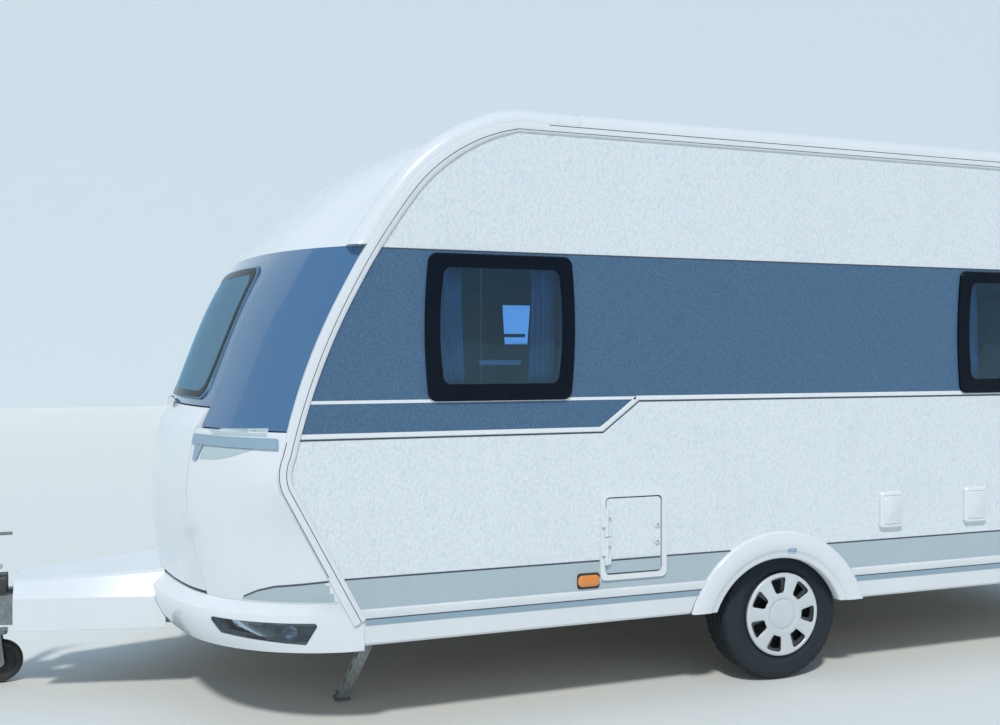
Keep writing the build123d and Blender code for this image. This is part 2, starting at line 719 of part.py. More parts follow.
# Axle: a rubber sprung tube, trailing arms and brake back plates
tube_face = RegularPolygon(axle_tube_size / 2, 6, major_radius=False)
axle_centre = axle_x - swing_arm
axle = across(Pos(axle_centre, axle_tube_z) * tube_face, -axle_tube_end, axle_tube_end)
for side in (-1, 1):
    y0, y1 = sorted((side * (axle_tube_end - 2), side * (axle_tube_end + 38)))
    arm = make_hull([*(Pos(axle_centre, axle_tube_z) * Circle(50)).edges(),
                     *(Pos(axle_x, hub_z) * Circle(40)).edges()])
    axle = axle + across(arm, y0, y1)
    y0, y1 = sorted((side * (axle_tube_end + 30), side * backplate_face))
    axle = axle + across(Pos(axle_x, hub_z) * Circle(34), y0, y1)
    y0, y1 = sorted((side * (backplate_face - 10), side * backplate_face))
    axle = axle + across(Pos(axle_x, hub_z) * Circle(118), y0, y1)
for side in (-1, 1):
    bracket_top = rail_top - rail_depth - joint_gap
    y0, y1 = sorted((side * (rail_y - 60), side * (rail_y + 10)))
    axle = axle + box(axle_centre - 70, axle_centre + 70, y0, y1, bracket_top - 12, bracket_top)
put("axle", axle)


def turned(points_and_arcs, side):
    # A wheel section drawn as radius against offset, turned about the wheel's axis
    section = make_face(points_and_arcs)
    body = revolve(Plane.XY * section, Axis.Y)
    return Pos(axle_x, side * wheel_centre_y, hub_z) * body


half_tyre = tyre_width / 2
bead = rim_radius - 6
for side, word in ((-1, "left"), (1, "right")):
    tyre = turned([
        Line((bead, -half_tyre + 16), (bead, half_tyre - 16)),
        ThreePointArc((bead, half_tyre - 16), (bead + 56, half_tyre), (tyre_radius - 14, half_tyre - 14)),
        ThreePointArc((tyre_radius - 14, half_tyre - 14), (tyre_radius - 5, half_tyre - 20),
                      (tyre_radius - 2, half_tyre - 28)),
        ThreePointArc((tyre_radius - 2, half_tyre - 28), (tyre_radius, 0), (tyre_radius - 2, 28 - half_tyre)),
        ThreePointArc((tyre_radius - 2, 28 - half_tyre), (tyre_radius - 5, 20 - half_tyre),
                      (tyre_radius - 14, 14 - half_tyre)),
        ThreePointArc((tyre_radius - 14, 14 - half_tyre), (bead + 56, -half_tyre), (bead, 16 - half_tyre)),
    ], side)
    put("tyre_" + word, tyre)
    # Offsets grow towards the outside of the wheel
    def out(value):
        return side * value
    barrel = turned([
        Line((bead - joint_gap, out(-78)), (bead - joint_gap, out(78))),
        Line((bead - joint_gap, out(78)), (bead - 9, out(78))),
        Line((bead - 9, out(78)), (bead - 14, out(40))),
        Line((bead - 14, out(40)), (drum_radius, out(30))),
        Line((drum_radius, out(30)), (0, out(36))),
        Line((0, out(36)), (0, out(20))),
        Line((0, out(20)), (drum_radius, out(20))),
        Line((drum_radius, out(20)), (drum_radius, out(backplate_face + joint_gap - wheel_centre_y))),
        Line((drum_radius, out(backplate_face + joint_gap - wheel_centre_y)),
             (drum_radius + 6, out(backplate_face + joint_gap - wheel_centre_y))),
        Line((drum_radius + 6, out(backplate_face + joint_gap - wheel_centre_y)), (drum_radius + 6, out(12))),
        Line((drum_radius + 6, out(12)), (bead - 14, out(26))),
        Line((bead - 14, out(26)), (bead - 9, out(-78))),
        Line((bead - 9, out(-78)), (bead - joint_gap, out(-78))),
    ], side)
    cover = turned([
        Line((0, out(82)), (0, out(98))),
        ThreePointArc((0, out(98)), (40, out(97)), (cap_radius, out(94))),
        Line((cap_radius, out(94)), (cap_radius + 6, out(90))),
        ThreePointArc((cap_radius + 6, out(90)), (125, out(95)), (rim_radius - 10, out(93))),
        Line((rim_radius - 10, out(93)), (rim_radius, out(88))),
        Line((rim_radius, out(88)), (rim_radius - 2, out(86))),
        Line((rim_radius - 2, out(86)), (bead - 6, out(84))),
        Line((bead - 6, out(84)), (bead - 6, out(77.9))),
        Line((bead - 6, out(77.9)), (bead - 16, out(77.9))),
        Line((bead - 16, out(77.9)), (bead - 20, out(80))),
        Line((bead - 20, out(80)), (0, out(82))),
    ], side)
    wedge = outline((92, -17), (160, -34), (166, 0), (160, 34), (92, 17))
    wedge = fillet(wedge.vertices(), 8)
    for step in range(cover_holes):
        turn = Rot(0, 360 / cover_holes * step, 0)
        cutter = across(wedge, side * 86 - 30, side * 86 + 30)
        cover = cover - Pos(axle_x, side * wheel_centre_y, hub_z) * turn * cutter
    put("rim_" + word, barrel + cover)

# Drawbar cover: a tapered lid over the drawbar, open below
def cover_section(x, half, grow):
    top = cover_top - (cover_rear - x) * cover_fall
    points = [(half, cover_foot), (half, cover_fold), (half - 62, top - 10), (half - 84, top)]
    points = [(y - grow, z - grow) for y, z in points]
    points[0] = (half - grow, cover_foot)
    return make_face(Polyline(*[(x, y, z) for y, z in points], *[(x, -y, z) for y, z in reversed(points)],
                              close=True))


cover_outer = loft([cover_section(cover_front, cover_half_front, 0), cover_section(cover_rear, cover_half_rear, 0)],
                   ruled=True)
cover_inner = loft([cover_section(cover_front, cover_half_front, cover_sheet),
                    cover_section(cover_rear, cover_half_rear, cover_sheet)], ruled=True)
bumper_space = front_body(bumper_levels, bumper_joint, -joint_gap)
bumper_space = bumper_space + front_body(ledge_levels, bumper_joint, -joint_gap, ruled=True)
put("drawbar_cover", cover_outer - cover_inner - bumper_space)

# Coupling head with its ball socket, draw shaft with gaiter, and the overrun housing
head = make_face([
    Line((coupling_tip + 8, coupling_z - 20), (coupling_tip + 8, coupling_z + 14)),
    ThreePointArc((coupling_tip + 8, coupling_z + 14), (coupling_tip + 40, shaft_z + 8),
                  (coupling_x + 40, shaft_z + 26)),
    Line((coupling_x + 40, shaft_z + 26), (coupling_x + 190, shaft_z + 30)),
    Line((coupling_x + 190, shaft_z + 30), (coupling_x + 190, shaft_z - 30)),
    Line((coupling_x + 190, shaft_z - 30), (coupling_x + 70, shaft_z - 34)),
    Line((coupling_x + 70, shaft_z - 34), (coupling_x + 44, coupling_z - 20)),
    Line((coupling_x + 44, coupling_z - 20), (coupling_tip + 8, coupling_z - 20)),
])
head = across(head, -36, 36)
head = head + upward(Pos(coupling_x, 0) * Circle(coupling_x - coupling_tip), coupling_z - 20, coupling_z + 24)
socket = upward(Pos(coupling_x, 0) * Circle(ball_radius + ball_clearance), coupling_z - 21, coupling_z)
socket = socket + Pos(coupling_x, 0, coupling_z) * Sphere(ball_radius + ball_clearance)
head = head - socket
handle_shape = make_hull([*(Pos(coupling_x + 150, shaft_z + 44) * Circle(16)).edges(),
                          *(Pos(coupling_x + 20, shaft_z + 78) * Circle(11)).edges()])
head = head + across(handle_shape, -16, 16)
shaft_start = coupling_x + 188
shaft = along(Pos(0, shaft_z) * Circle(24), shaft_start, housing_x[0] + 2)
put("coupling_head", head + shaft)
gaiter_length = housing_x[0] - joint_gap - (coupling_x + 190 + joint_gap)
gaiter = None
for step in range(gaiter_ridges):
    pitch = gaiter_length / gaiter_ridges
    x0 = coupling_x + 190 + joint_gap + step * pitch
    low_ring = Pos(x0, 0, shaft_z) * Rot(0, 90, 0) * Cone(31, 43, pitch / 2, align=(Align.CENTER, Align.CENTER,
                                                                               Align.MIN))
    high_ring = Pos(x0 + pitch / 2, 0, shaft_z) * Rot(0, 90, 0) * Cone(
        43, 31, pitch / 2, align=(Align.CENTER, Align.CENTER, Align.MIN))
    ring = low_ring + high_ring
    gaiter = ring if gaiter is None else gaiter + ring
gaiter = gaiter - along(Pos(0, shaft_z) * Circle(24.3), housing_x[0] - 400, housing_x[0] + 10)
put("shaft_gaiter", gaiter)
housing = box(*housing_x, -58, 58, rail_top + joint_gap, shaft_z + 46)
housing = fillet(housing.edges().filter_by(Axis.X).group_by(Axis.Z)[-1], 22)
housing = housing - along(Pos(0, shaft_z) * Circle(24.3), housing_x[0] - 1, housing_x[0] + 12)
put("overrun_housing", housing)
lever = make_hull([*(Pos(housing_x[0] + 60, shaft_z + 20) * Circle(14)).edges(),
                   *(Pos(housing_x[1] - 20, shaft_z + 92) * Circle(10)).edges()])
lever = across(lever, -58 - joint_gap - 16, -58 - joint_gap)
put("handbrake_lever", lever)

# Jockey wheel: clamp and outer tube on the drawbar, fork that swivels, wheel
clamp_face = drawbar_front_y + (jockey_x - drawbar_front) * (rail_y - drawbar_front_y) / (rail_bend - drawbar_front)
tube_foot = jockey_wheel_radius * 2 + 46
post = upward(Pos(jockey_x, jockey_y) * Circle(30), tube_foot, jockey_top)
post = post - upward(Pos(jockey_x, jockey_y) * Circle(24.1), tube_foot - 1, tube_foot + 80)
post = post + upward(Pos(jockey_x, jockey_y) * Circle(10), jockey_top - 1, jockey_top + 60)
crank = box(jockey_x - 8, jockey_x + 110, jockey_y - 8, jockey_y + 8, jockey_top + 50, jockey_top + 64)
clamp = box(jockey_x - 34, jockey_x + 34, clamp_face - 20, jockey_y, rail_top - 96, rail_top - 20)
post = post + crank + clamp
beam_space = Pos(drawbar_front, drawbar_front_y, rail_top) * Rot(0, 0, degrees(slope)) * box(
    0, beam_length, -rail_flange, joint_gap, -rail_depth, 1)
put("jockey_post", post - beam_space)
fork_top = tube_foot - joint_gap
stem = upward(Pos(jockey_x, jockey_y) * Circle(24), fork_top - 14, tube_foot + 70)
plate_top = upward(Pos(jockey_x + jockey_trail / 2, jockey_y) * RectangleRounded(120, 84, 18), fork_top - 16, fork_top)
fork = stem + plate_top
for side in (-1, 1):
    y0, y1 = sorted((jockey_y + side * 34, jockey_y + side * 40))
    cheek = make_hull([*(Pos(jockey_x + jockey_trail, jockey_wheel_radius) * Circle(22)).edges(),
                       *(Pos(jockey_x + jockey_trail / 2 - 24, fork_top - 12) * Circle(10)).edges(),
                       *(Pos(jockey_x + jockey_trail / 2 + 24, fork_top - 12) * Circle(10)).edges()])
    fork = fork + across(cheek, y0, y1)
axle_pin = across(Pos(jockey_x + jockey_trail, jockey_wheel_radius) * Circle(8), jockey_y - 36, jockey_y + 36)
put("jockey_fork", fork + axle_pin)
wheel_face = make_face([
    Line((8.08, -28), (8.08, 28)), Line((8.08, 28), (26, 28)), Line((26, 28), (34, 14)),
    Line((34, 14), (66, 14)), Line((66, 14), (74, 27)), Line((74, 27), (90, 27)),
    ThreePointArc((90, 27), (jockey_wheel_radius, 0), (90, -27)),
    Line((90, -27), (74, -27)), Line((74, -27), (66, -14)), Line((66, -14), (34, -14)),
    Line((34, -14), (26, -28)), Line((26, -28), (8.08, -28)),
])
jockey_wheel = Pos(jockey_x + jockey_trail, jockey_y, jockey_wheel_radius) * revolve(wheel_face, Axis.Y)
put("jockey_wheel", jockey_wheel)


# Corner steadies: a bracket under the floor and a channel leg on a pin
def steady(x, side, lean):
    y = side * steady_y
    foot_x = x + lean
    length = hypot(lean, steady_pivot_z)
    tilt = degrees(atan2(lean, steady_pivot_z))
    leg = box(-22, 22, -24, 24, -length + 12, 26) - box(-14, 23, -19, 19, -length - 1, 27)
    leg = leg - Rot(90, 0, 0) * Cylinder(steady_pin + 0.06, 60)
    for hole in range(4):
        leg = leg - box(-30, 0, -9, 9, -length + 60 + hole * 62, -length + 94 + hole * 62)
    if lean > 0:
        leg = mirror(leg, Plane.YZ)
    leg = Pos(x, y, steady_pivot_z) * Rot(0, -tilt, 0) * leg
    foot = Pos(foot_x, y) * RectangleRounded(70, 84, 12)
    foot = upward(foot, 0, 6) + box(foot_x - 24, foot_x + 24, y - 24, y + 24, 5, 30)
    leg = leg + foot
    ears = None
    for end in (-1, 1):
        y0, y1 = sorted((y + end * 26, y + end * 32))
        ear = make_hull([*(Pos(x, steady_pivot_z) * Circle(22)).edges(),
                         *(Pos(x - 70, rail_top - 14) * Circle(12)).edges(),
                         *(Pos(x + 70, rail_top - 14) * Circle(12)).edges()])
        ear = across(ear, y0, y1)
        ears = ear if ears is None else ears + ear
    ears = ears + box(x - 90, x + 90, y - 40, y + 40, rail_top - 8, rail_top)
    ears = ears + across(Pos(x, steady_pivot_z) * Circle(steady_pin), y - 30, y + 30)
    return leg, ears


brackets = []
for name, x, side, lean in steady_table:
    leg, ears = steady(x, side, lean)
    put("steady_" + name, leg)
    brackets.append(ears)
put("steady_brackets", *brackets)

# Furniture seen through the windows, cushions and curtains
furniture = []
for x0, x1, y0, y1, z0, z1, open_to in furniture_table:
    if open_to == "floor":
        hollow = box(x0 + board, x1 - board, y0 + board, y1 - board, z0 - 1, z1 - board)
    else:
        hollow = box(x0 + board, x1 - board, y0 - 1, y1 - board, z0 + board, z1 - board)
    furniture.append(box(x0, x1, y0, y1, z0, z1) - hollow)
put("furniture", *furniture)
x0, x1, y0, y1, z0, z1 = cassette_box
put("cassette_box", box(*cassette_box) - box(x0 + board, x1 - board, y0 + board, y1 + 1, z0 + board, z1 - board))
cushions = []
for x0, x1, y0, y1, z0 in cushion_table:
    cushion = box(x0, x1, y0, y1, z0, z0 + cushion_height)
    cushions.append(fillet(cushion.edges(), 22))
put("cushions", *cushions)
curtain_rails = []
curtains = []
for side, windows in ((-1, left_windows), (1, right_windows)):
    for centre, width, foot, head in windows:
        y0, y1 = sorted((side * (inner_half - joint_gap), side * (inner_half - 46)))
        curtain_rails.append(box(centre - width / 2 - 20, centre + width / 2 + 20, y0, y1, head + 6, head + 20))
        y0, y1 = sorted((side * (inner_half - 8), side * (inner_half - 40)))
        for end in (-1, 1):
            x0, x1 = sorted((centre + end * (width / 2 + 15), centre + end * (width / 2 - curtain_width)))
            curtains.append(box(x0, x1, y0, y1, foot - 30, head + 6 - joint_gap))
put("curtain_rails", *curtain_rails)
put("curtains", *curtains)

os.makedirs("parts", exist_ok=True)
for name, part in parts.items():
    export_step(part, "parts/" + name + ".step")
print(len(parts), "pieces")
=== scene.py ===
import math

import bmesh
import bpy
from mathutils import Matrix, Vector, noise
from mathutils.bvhtree import BVHTree


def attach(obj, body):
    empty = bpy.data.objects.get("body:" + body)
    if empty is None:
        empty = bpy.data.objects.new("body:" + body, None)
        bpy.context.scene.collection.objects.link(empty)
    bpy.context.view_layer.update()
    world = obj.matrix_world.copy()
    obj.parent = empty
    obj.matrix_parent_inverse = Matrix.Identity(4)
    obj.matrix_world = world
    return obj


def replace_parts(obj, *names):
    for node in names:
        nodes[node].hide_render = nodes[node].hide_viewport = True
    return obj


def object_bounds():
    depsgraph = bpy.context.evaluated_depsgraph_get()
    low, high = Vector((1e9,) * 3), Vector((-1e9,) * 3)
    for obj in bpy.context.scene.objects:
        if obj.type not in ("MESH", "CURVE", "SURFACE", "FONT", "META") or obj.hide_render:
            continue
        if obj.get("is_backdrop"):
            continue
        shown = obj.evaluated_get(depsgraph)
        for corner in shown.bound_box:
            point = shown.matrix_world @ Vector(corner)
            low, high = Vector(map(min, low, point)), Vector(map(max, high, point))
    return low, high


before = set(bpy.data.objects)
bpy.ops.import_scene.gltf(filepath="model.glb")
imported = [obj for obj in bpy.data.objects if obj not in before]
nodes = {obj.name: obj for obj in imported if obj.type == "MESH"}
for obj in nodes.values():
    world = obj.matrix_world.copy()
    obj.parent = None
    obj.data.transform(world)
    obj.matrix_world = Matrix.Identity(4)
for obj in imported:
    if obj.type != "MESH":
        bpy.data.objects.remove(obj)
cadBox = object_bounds()
root = "caravan"
scene = bpy.context.scene

view = {"spot": (-2.265, -5.238, 1.553), "yaw": 20.08, "pitch": -0.57, "roll": -0.05, "lens": 37.3}
camera = bpy.data.objects.new("camera", bpy.data.cameras.new("camera"))
scene.collection.objects.link(camera)
camera.data.lens = view["lens"]
camera.data.sensor_width = 36
camera.data.clip_end = 200
camera.location = view["spot"]
camera.rotation_euler = [math.radians(angle) for angle in (90 + view["pitch"], view["roll"], -view["yaw"])]
scene.camera = camera
scene.view_settings.view_transform = "Standard"
print("camera placed")

# Sizes in metres, in the shared frame: X to the rear, Y to the door side, Z up
sides = ((-1, "Left"), (1, "Right"))
halfWidth = 1.150
rearEnd = 3.215  # where the side walls stop
rearFace = 3.275
eaves = 2.528
roofTop = 2.588
trimWidth = 0.054  # how far in the films start from the front edge
filmDepth = 0.0008
filmGap = 0.002
windowFoot, windowHead = 1.349, 1.962
leftWindows = [(-0.765, 0.672, windowFoot, windowHead), (2.140, 0.950, windowFoot, windowHead)]
rightWindows = [(-1.000, 0.420, windowFoot, windowHead), (0.163, 0.380, 1.575, 1.880),
                (2.140, 0.950, windowFoot, windowHead)]
walls = ((-1, "Left", leftWindows), (1, "Right", rightWindows))
rearPane = (0.0, 1.300, windowFoot, windowHead)
door = "entrance_door_leaf"
doorX = (-0.700, -0.070)
doorPane = (-0.385, 0.330, 1.480, 1.960)
doorFace = halfWidth + 0.008
band = {"top": 1.975, "foot": 1.359, "line": 0.013, "lowLine": 0.018, "topLine": 0.006,
        "stripFoot": 1.228, "stepLow": -0.307, "stepHigh": -0.132}
underLine = {"low": 1.204, "high": 1.338, "line": 0.007, "stepLow": -0.292, "stepHigh": -0.116}
bandFoot, bandTop = band["foot"], band["top"]
lineZ = bandFoot - band["line"] / 2
greyBand = {"top": 0.644, "foot": 0.521, "line": 0.007}
arch = {"x": 0.620, "z": 0.230, "radius": 0.490, "foot": 0.370}
wheel = {"x": 0.675, "z": 0.312, "y": 0.997}
hatchFrame = (-0.307, 0.019, 0.556)  # front end, rear end and foot
hatchLeaf = (-0.283, -0.011, 0.586)
hatchFace = halfWidth + 0.010


def linear(red, green, blue):
    values = []
    for value in (red, green, blue):
        value = value / 255
        values.append(value / 12.92 if value <= 0.04045 else ((value + 0.055) / 1.055) ** 2.4)
    return (*values, 1)


def newGroup(name, inputs, outputs):
    group = bpy.data.node_groups.new(name, "ShaderNodeTree")
    for direction, sockets in (("INPUT", inputs), ("OUTPUT", outputs)):
        for label, kind, value in sockets:
            socket = group.interface.new_socket(label, in_out=direction, socket_type="NodeSocket" + kind)
            if value is not None:
                socket.default_value = value
    return group, group.nodes.new("NodeGroupInput"), group.nodes.new("NodeGroupOutput")


def addNode(tree, kind, values=None):
    node = tree.nodes.new("ShaderNode" + kind)
    for label, value in (values or {}).items():
        node.inputs[label].default_value = value
    return node


def join(tree, *links):
    for source, leaving, target, entering in links:
        tree.links.new(source.outputs[leaving], target.inputs[entering])


def mathNode(tree, operation, first, second, clamp=False):
    # Each value is a number, or a node with the name of its output
    step = addNode(tree, "Math")
    step.operation = operation
    step.use_clamp = clamp
    for index, value in enumerate((first, second)):
        if isinstance(value, tuple):
            join(tree, (*value, step, index))
        else:
            step.inputs[index].default_value = value
    return step, "Value"


# Shared surface relief: soft edges under a fine grain, or under hammered pebbles
reliefInputs = [("Scale", "Float", 80.0), ("Strength", "Float", 0.2), ("Depth", "Float", 0.001),
                ("Edge", "Float", 0.002)]
reliefOutputs = [("Normal", "Vector", None), ("Mask", "Float", None)]


def reliefGroup(name, pebbled):
    group, entry, leave = newGroup(name, reliefInputs, reliefOutputs)
    place = addNode(group, "TexCoord")
    grain = addNode(group, "TexNoise", {"Detail": 3, "Roughness": 0.65})
    softEdge = addNode(group, "Bevel")
    softEdge.samples = 4
    bump = addNode(group, "Bump")
    height = (grain, "Fac")
    if pebbled:
        pebble = addNode(group, "TexVoronoi")
        pebble.feature = "SMOOTH_F1"
        pebble.inputs["Smoothness"].default_value = 0.35
        slant = addNode(group, "Mapping", {"Rotation": (0, math.radians(34), 0), "Scale": (1.0, 1.0, 0.55)})
        join(group, (place, "Object", slant, "Vector"), (slant, "Vector", pebble, "Vector"),
             (entry, "Scale", pebble, "Scale"))
        height = mathNode(group, "ADD", (pebble, "Distance"), mathNode(group, "MULTIPLY", height, 0.7))
        height = mathNode(group, "SUBTRACT", height, 0.25, True)
    join(group, (place, "Object", grain, "Vector"), (entry, "Scale", grain, "Scale"),
         (entry, "Strength", bump, "Strength"), (entry, "Depth", bump, "Distance"),
         (entry, "Edge", softEdge, "Radius"), (*height, bump, "Height"), (softEdge, "Normal", bump, "Normal"),
         (bump, "Normal", leave, "Normal"), (*height, leave, "Mask"))
    return group


# Shared aging: faint rain streaks, uneven patches and road dust low down
def agingGroup():
    group, entry, leave = newGroup(
        "surfaceAging",
        [("Base", "Color", (0.8, 0.8, 0.8, 1)), ("Soil", "Color", (0.3, 0.3, 0.28, 1)),
         ("Amount", "Float", 0.2), ("Roughness", "Float", 0.4)],
        [("Color", "Color", None), ("Roughness", "Float", None)])
    place = addNode(group, "TexCoord")
    stretch = addNode(group, "Mapping", {"Scale": (14.0, 14.0, 1.1)})
    streak = addNode(group, "TexNoise", {"Scale": 1.0, "Detail": 4})
    patch = addNode(group, "TexNoise", {"Scale": 2.3, "Detail": 3})
    split = addNode(group, "SeparateXYZ")
    low = addNode(group, "MapRange", {"From Min": 0.95, "From Max": 0.05})
    blend = addNode(group, "Mix")
    blend.data_type = "RGBA"
    join(group, (place, "Object", stretch, "Vector"), (stretch, "Vector", streak, "Vector"),
         (place, "Object", patch, "Vector"), (place, "Object", split, "Vector"), (split, "Z", low, "Value"))
    uneven = mathNode(group, "MULTIPLY", (streak, "Fac"), (patch, "Fac"))
    dusty = mathNode(group, "MULTIPLY", (low, "Result"), (patch, "Fac"))
    mask = mathNode(group, "ADD", mathNode(group, "MULTIPLY", uneven, 1.4), dusty, True)
    mask = mathNode(group, "MULTIPLY", mask, (entry, "Amount"), True)
    spread = mathNode(group, "MULTIPLY", mathNode(group, "SUBTRACT", (patch, "Fac"), 0.5), 0.16)
    rough = mathNode(group, "ADD", mathNode(group, "ADD", (entry, "Roughness"), spread),
                     mathNode(group, "MULTIPLY", mask, 0.3), True)
    join(group, (*mask, blend, 0), (entry, "Base", blend, 6), (entry, "Soil", blend, 7),
         (blend, 2, leave, "Color"), (*rough, leave, "Roughness"))
    return group


grains = {"fine": reliefGroup("fineRelief", False), "pebble": reliefGroup("pebbleRelief", True)}
aging = agingGroup()
basicFinish = {
    "color": (230, 232, 232), "fleck": None, "soil": (128, 130, 122), "aging": 0.14, "roughness": 0.35,
    "metallic": 0.0, "coat": 0.0, "specular": 0.5, "grain": "fine", "scale": 90.0, "strength": 0.12,
    "depth": 0.0006, "edge": 0.002,
}


def paint(name, **changes):
    finish = {**basicFinish, **changes}
    material = bpy.data.materials.new(name)
    material.use_nodes = True
    tree = material.node_tree
    shader = tree.nodes["Principled BSDF"]
    shader.inputs["Metallic"].default_value = finish["metallic"]
    shader.inputs["Coat Weight"].default_value = finish["coat"]
    shader.inputs["Coat Roughness"].default_value = 0.05
    shader.inputs["Specular IOR Level"].default_value = finish["specular"]
    relief, worn = addNode(tree, "Group"), addNode(tree, "Group")
    relief.node_tree, worn.node_tree = grains[finish["grain"]], aging
    for key in ("scale", "strength", "depth", "edge"):
        relief.inputs[key.title()].default_value = finish[key]
    worn.inputs["Base"].default_value = linear(*finish["color"])
    worn.inputs["Soil"].default_value = linear(*finish["soil"])
    worn.inputs["Amount"].default_value = finish["aging"]
    worn.inputs["Roughness"].default_value = finish["roughness"]
    if finish["fleck"]:
        blend = addNode(tree, "Mix", {6: linear(*finish["color"]), 7: linear(*finish["fleck"])})
        blend.data_type = "RGBA"
        join(tree, (relief, "Mask", blend, 0), (blend, 2, worn, "Base"))
    join(tree, (worn, "Color", shader, "Base Color"), (worn, "Roughness", shader, "Roughness"),
         (relief, "Normal", shader, "Normal"))
    return material


def glazing(name, tint, roughness=0.02, index=1.6, shine=(0.9, 0.95, 1.0, 1)):
    # Thin tinted sheet: see-through head on, mirror-like at a slant
    material = bpy.data.materials.new(name)
    material.use_nodes = True
    tree = material.node_tree
    tree.nodes.remove(tree.nodes["Principled BSDF"])
    clear = addNode(tree, "BsdfTransparent", {"Color": tint})
    gloss = addNode(tree, "BsdfGlossy", {"Roughness": roughness, "Color": shine})
    facing = addNode(tree, "Fresnel", {"IOR": index})
    blend = addNode(tree, "MixShader")
    join(tree, (facing, "Fac", blend, "Fac"), (clear, "BSDF", blend, 1), (gloss, "BSDF", blend, 2),
         (blend, "Shader", tree.nodes["Material Output"], "Surface"))
    return material


stucco = paint("stucco", color=(240, 242, 242), fleck=(216, 224, 228), roughness=0.4, grain="pebble",
               scale=105.0, strength=0.75, depth=0.0016, aging=0.08)
smoothWhite = paint("smoothWhite", color=(232, 235, 236), roughness=0.3, coat=0.3)
glossWhite = paint("glossWhite", color=(230, 234, 236), roughness=0.16, coat=0.6, edge=0.004, aging=0.1)
slateFilm = paint("slateFilm", color=(50, 84, 116), fleck=(82, 116, 146), roughness=0.42, grain="pebble",
                  scale=170.0, strength=0.9, depth=0.0014, edge=0.0, aging=0.04)
slateGloss = paint("slateGloss", color=(70, 110, 148), roughness=0.12, coat=1.0, strength=0.03, aging=0.05)
greyFilm = paint("greyFilm", color=(178, 194, 200), edge=0.0)
# pale grey: the plate face's own colour, and painted shade on the recesses of the front shell
paleGreyAndRecessShade = paint("paleGreyAndRecessShade", color=(186, 204, 206), edge=0.001)
# strip grey: the waist strips' and tabs' own colour, and painted shadow under the skirt rail
stripGreyAndRailShadow = paint("stripGreyAndRailShadow", color=(146, 172, 188), roughness=0.3)
whiteLine = paint("whiteLine", color=(238, 240, 240), edge=0.0)
# dark line: printed lines, and painted shade in the edge moulding's groove and along its outer edge
darkLineAndGapShade = paint("darkLineAndGapShade", color=(48, 60, 76), roughness=0.4, edge=0.0, aging=0.3)
blackPrint = paint("blackPrint", color=(4, 16, 30), roughness=0.22, specular=0.12, strength=0.02, aging=0.03)
blackRubber = paint("blackRubber", color=(26, 27, 29), roughness=0.7, scale=300.0, strength=0.3)
tyreRubber = paint("tyreRubber", color=(20, 34, 44), soil=(84, 84, 80), roughness=0.72, specular=0.3,
                   scale=260.0, strength=0.35, aging=0.22)
silverPaint = paint("silverPaint", color=(218, 224, 226), roughness=0.32, metallic=0.15, coat=0.4, aging=0.2)
darkSteel = paint("darkSteel", color=(52, 60, 68), roughness=0.45, metallic=0.5, aging=0.35)
blackSteel = paint("blackSteel", color=(30, 31, 33), roughness=0.45, aging=0.35)
zincSteel = paint("zincSteel", color=(168, 172, 172), fleck=(132, 138, 140), roughness=0.45, metallic=0.85,
                  grain="pebble", scale=55.0, strength=0.2, aging=0.3)
boardWood = paint("boardWood", color=(196, 180, 158), fleck=(164, 144, 118), roughness=0.5, scale=30.0)
cloth = paint("cloth", color=(96, 104, 116), fleck=(120, 126, 134), roughness=0.92, scale=420.0, strength=0.5)
curtainCloth = paint("curtainCloth", color=(188, 198, 208), fleck=(150, 164, 180), roughness=0.95, scale=340.0,
                     strength=0.4, edge=0.0)
amber = paint("amber", color=(232, 138, 34), roughness=0.15, coat=1.0, scale=260.0, strength=0.5)
redLens = paint("redLens", color=(168, 16, 22), roughness=0.15, coat=1.0, scale=220.0, strength=0.5)
housingBlue = paint("housingBlue", color=(40, 66, 84), roughness=0.25, coat=0.6)
brightMetal = paint("brightMetal", color=(222, 226, 230), roughness=0.12, metallic=1.0, aging=0.05)
chromeTone = paint("chromeTone", color=(200, 206, 210), roughness=0.2, metallic=0.9)
tintedPane = glazing("tintedPane", (0.38, 0.64, 0.98, 1), index=1.9, shine=(0.50, 0.80, 1.0, 1))
frontPane = glazing("frontPane", (0.16, 0.28, 0.42, 1), index=5.0, shine=(0.46, 0.76, 1.0, 1))
clearPane = glazing("clearPane", (0.80, 0.86, 0.9, 1))
domePane = glazing("domePane", (0.62, 0.66, 0.70, 1), 0.12)

cadLooks = [
    (stucco, "side_wall_left side_wall_right rear_wall entrance_door service_hatch cassette_hatch"),
    (smoothWhite, "roof edge_trims skirts cassette_box curtain_rails hatch_frames inlet_covers"),
    (glossWhite, "roof_nose front_cheeks gas_locker_lid front_bumper rear_bumper wheel_arches drawbar_cover"),
    (slateGloss, "corner_panels front_window_surround"),
    (tintedPane, "windows_left windows_right door_window rear_window"),
    (frontPane, "front_window"),
    (domePane, "rooflights"),
    (clearPane, "front_lamps"),
    (redLens, "rear_lamps"),
    (amber, "side_markers"),
    (stripGreyAndRailShadow, "waist_strips"),
    (boardWood, "floor furniture locker_bulkhead"),
    (cloth, "cushions"),
    (curtainCloth, "curtains"),
    (zincSteel, "chassis_frame steady_brackets steady_front_left steady_front_right steady_rear_left"),
    (zincSteel, "steady_rear_right jockey_post jockey_fork"),
    (blackSteel, "wheel_boxes axle coupling_head overrun_housing"),
    (darkSteel, "rim_left rim_right"),
    (chromeTone, "handbrake_lever"),
    (blackRubber, "shaft_gaiter jockey_wheel"),
    (tyreRubber, "tyre_left tyre_right"),
]
for look, names in cadLooks:
    for node in names.split():
        nodes[node].data.materials.clear()
        nodes[node].data.materials.append(look)
print("materials set")


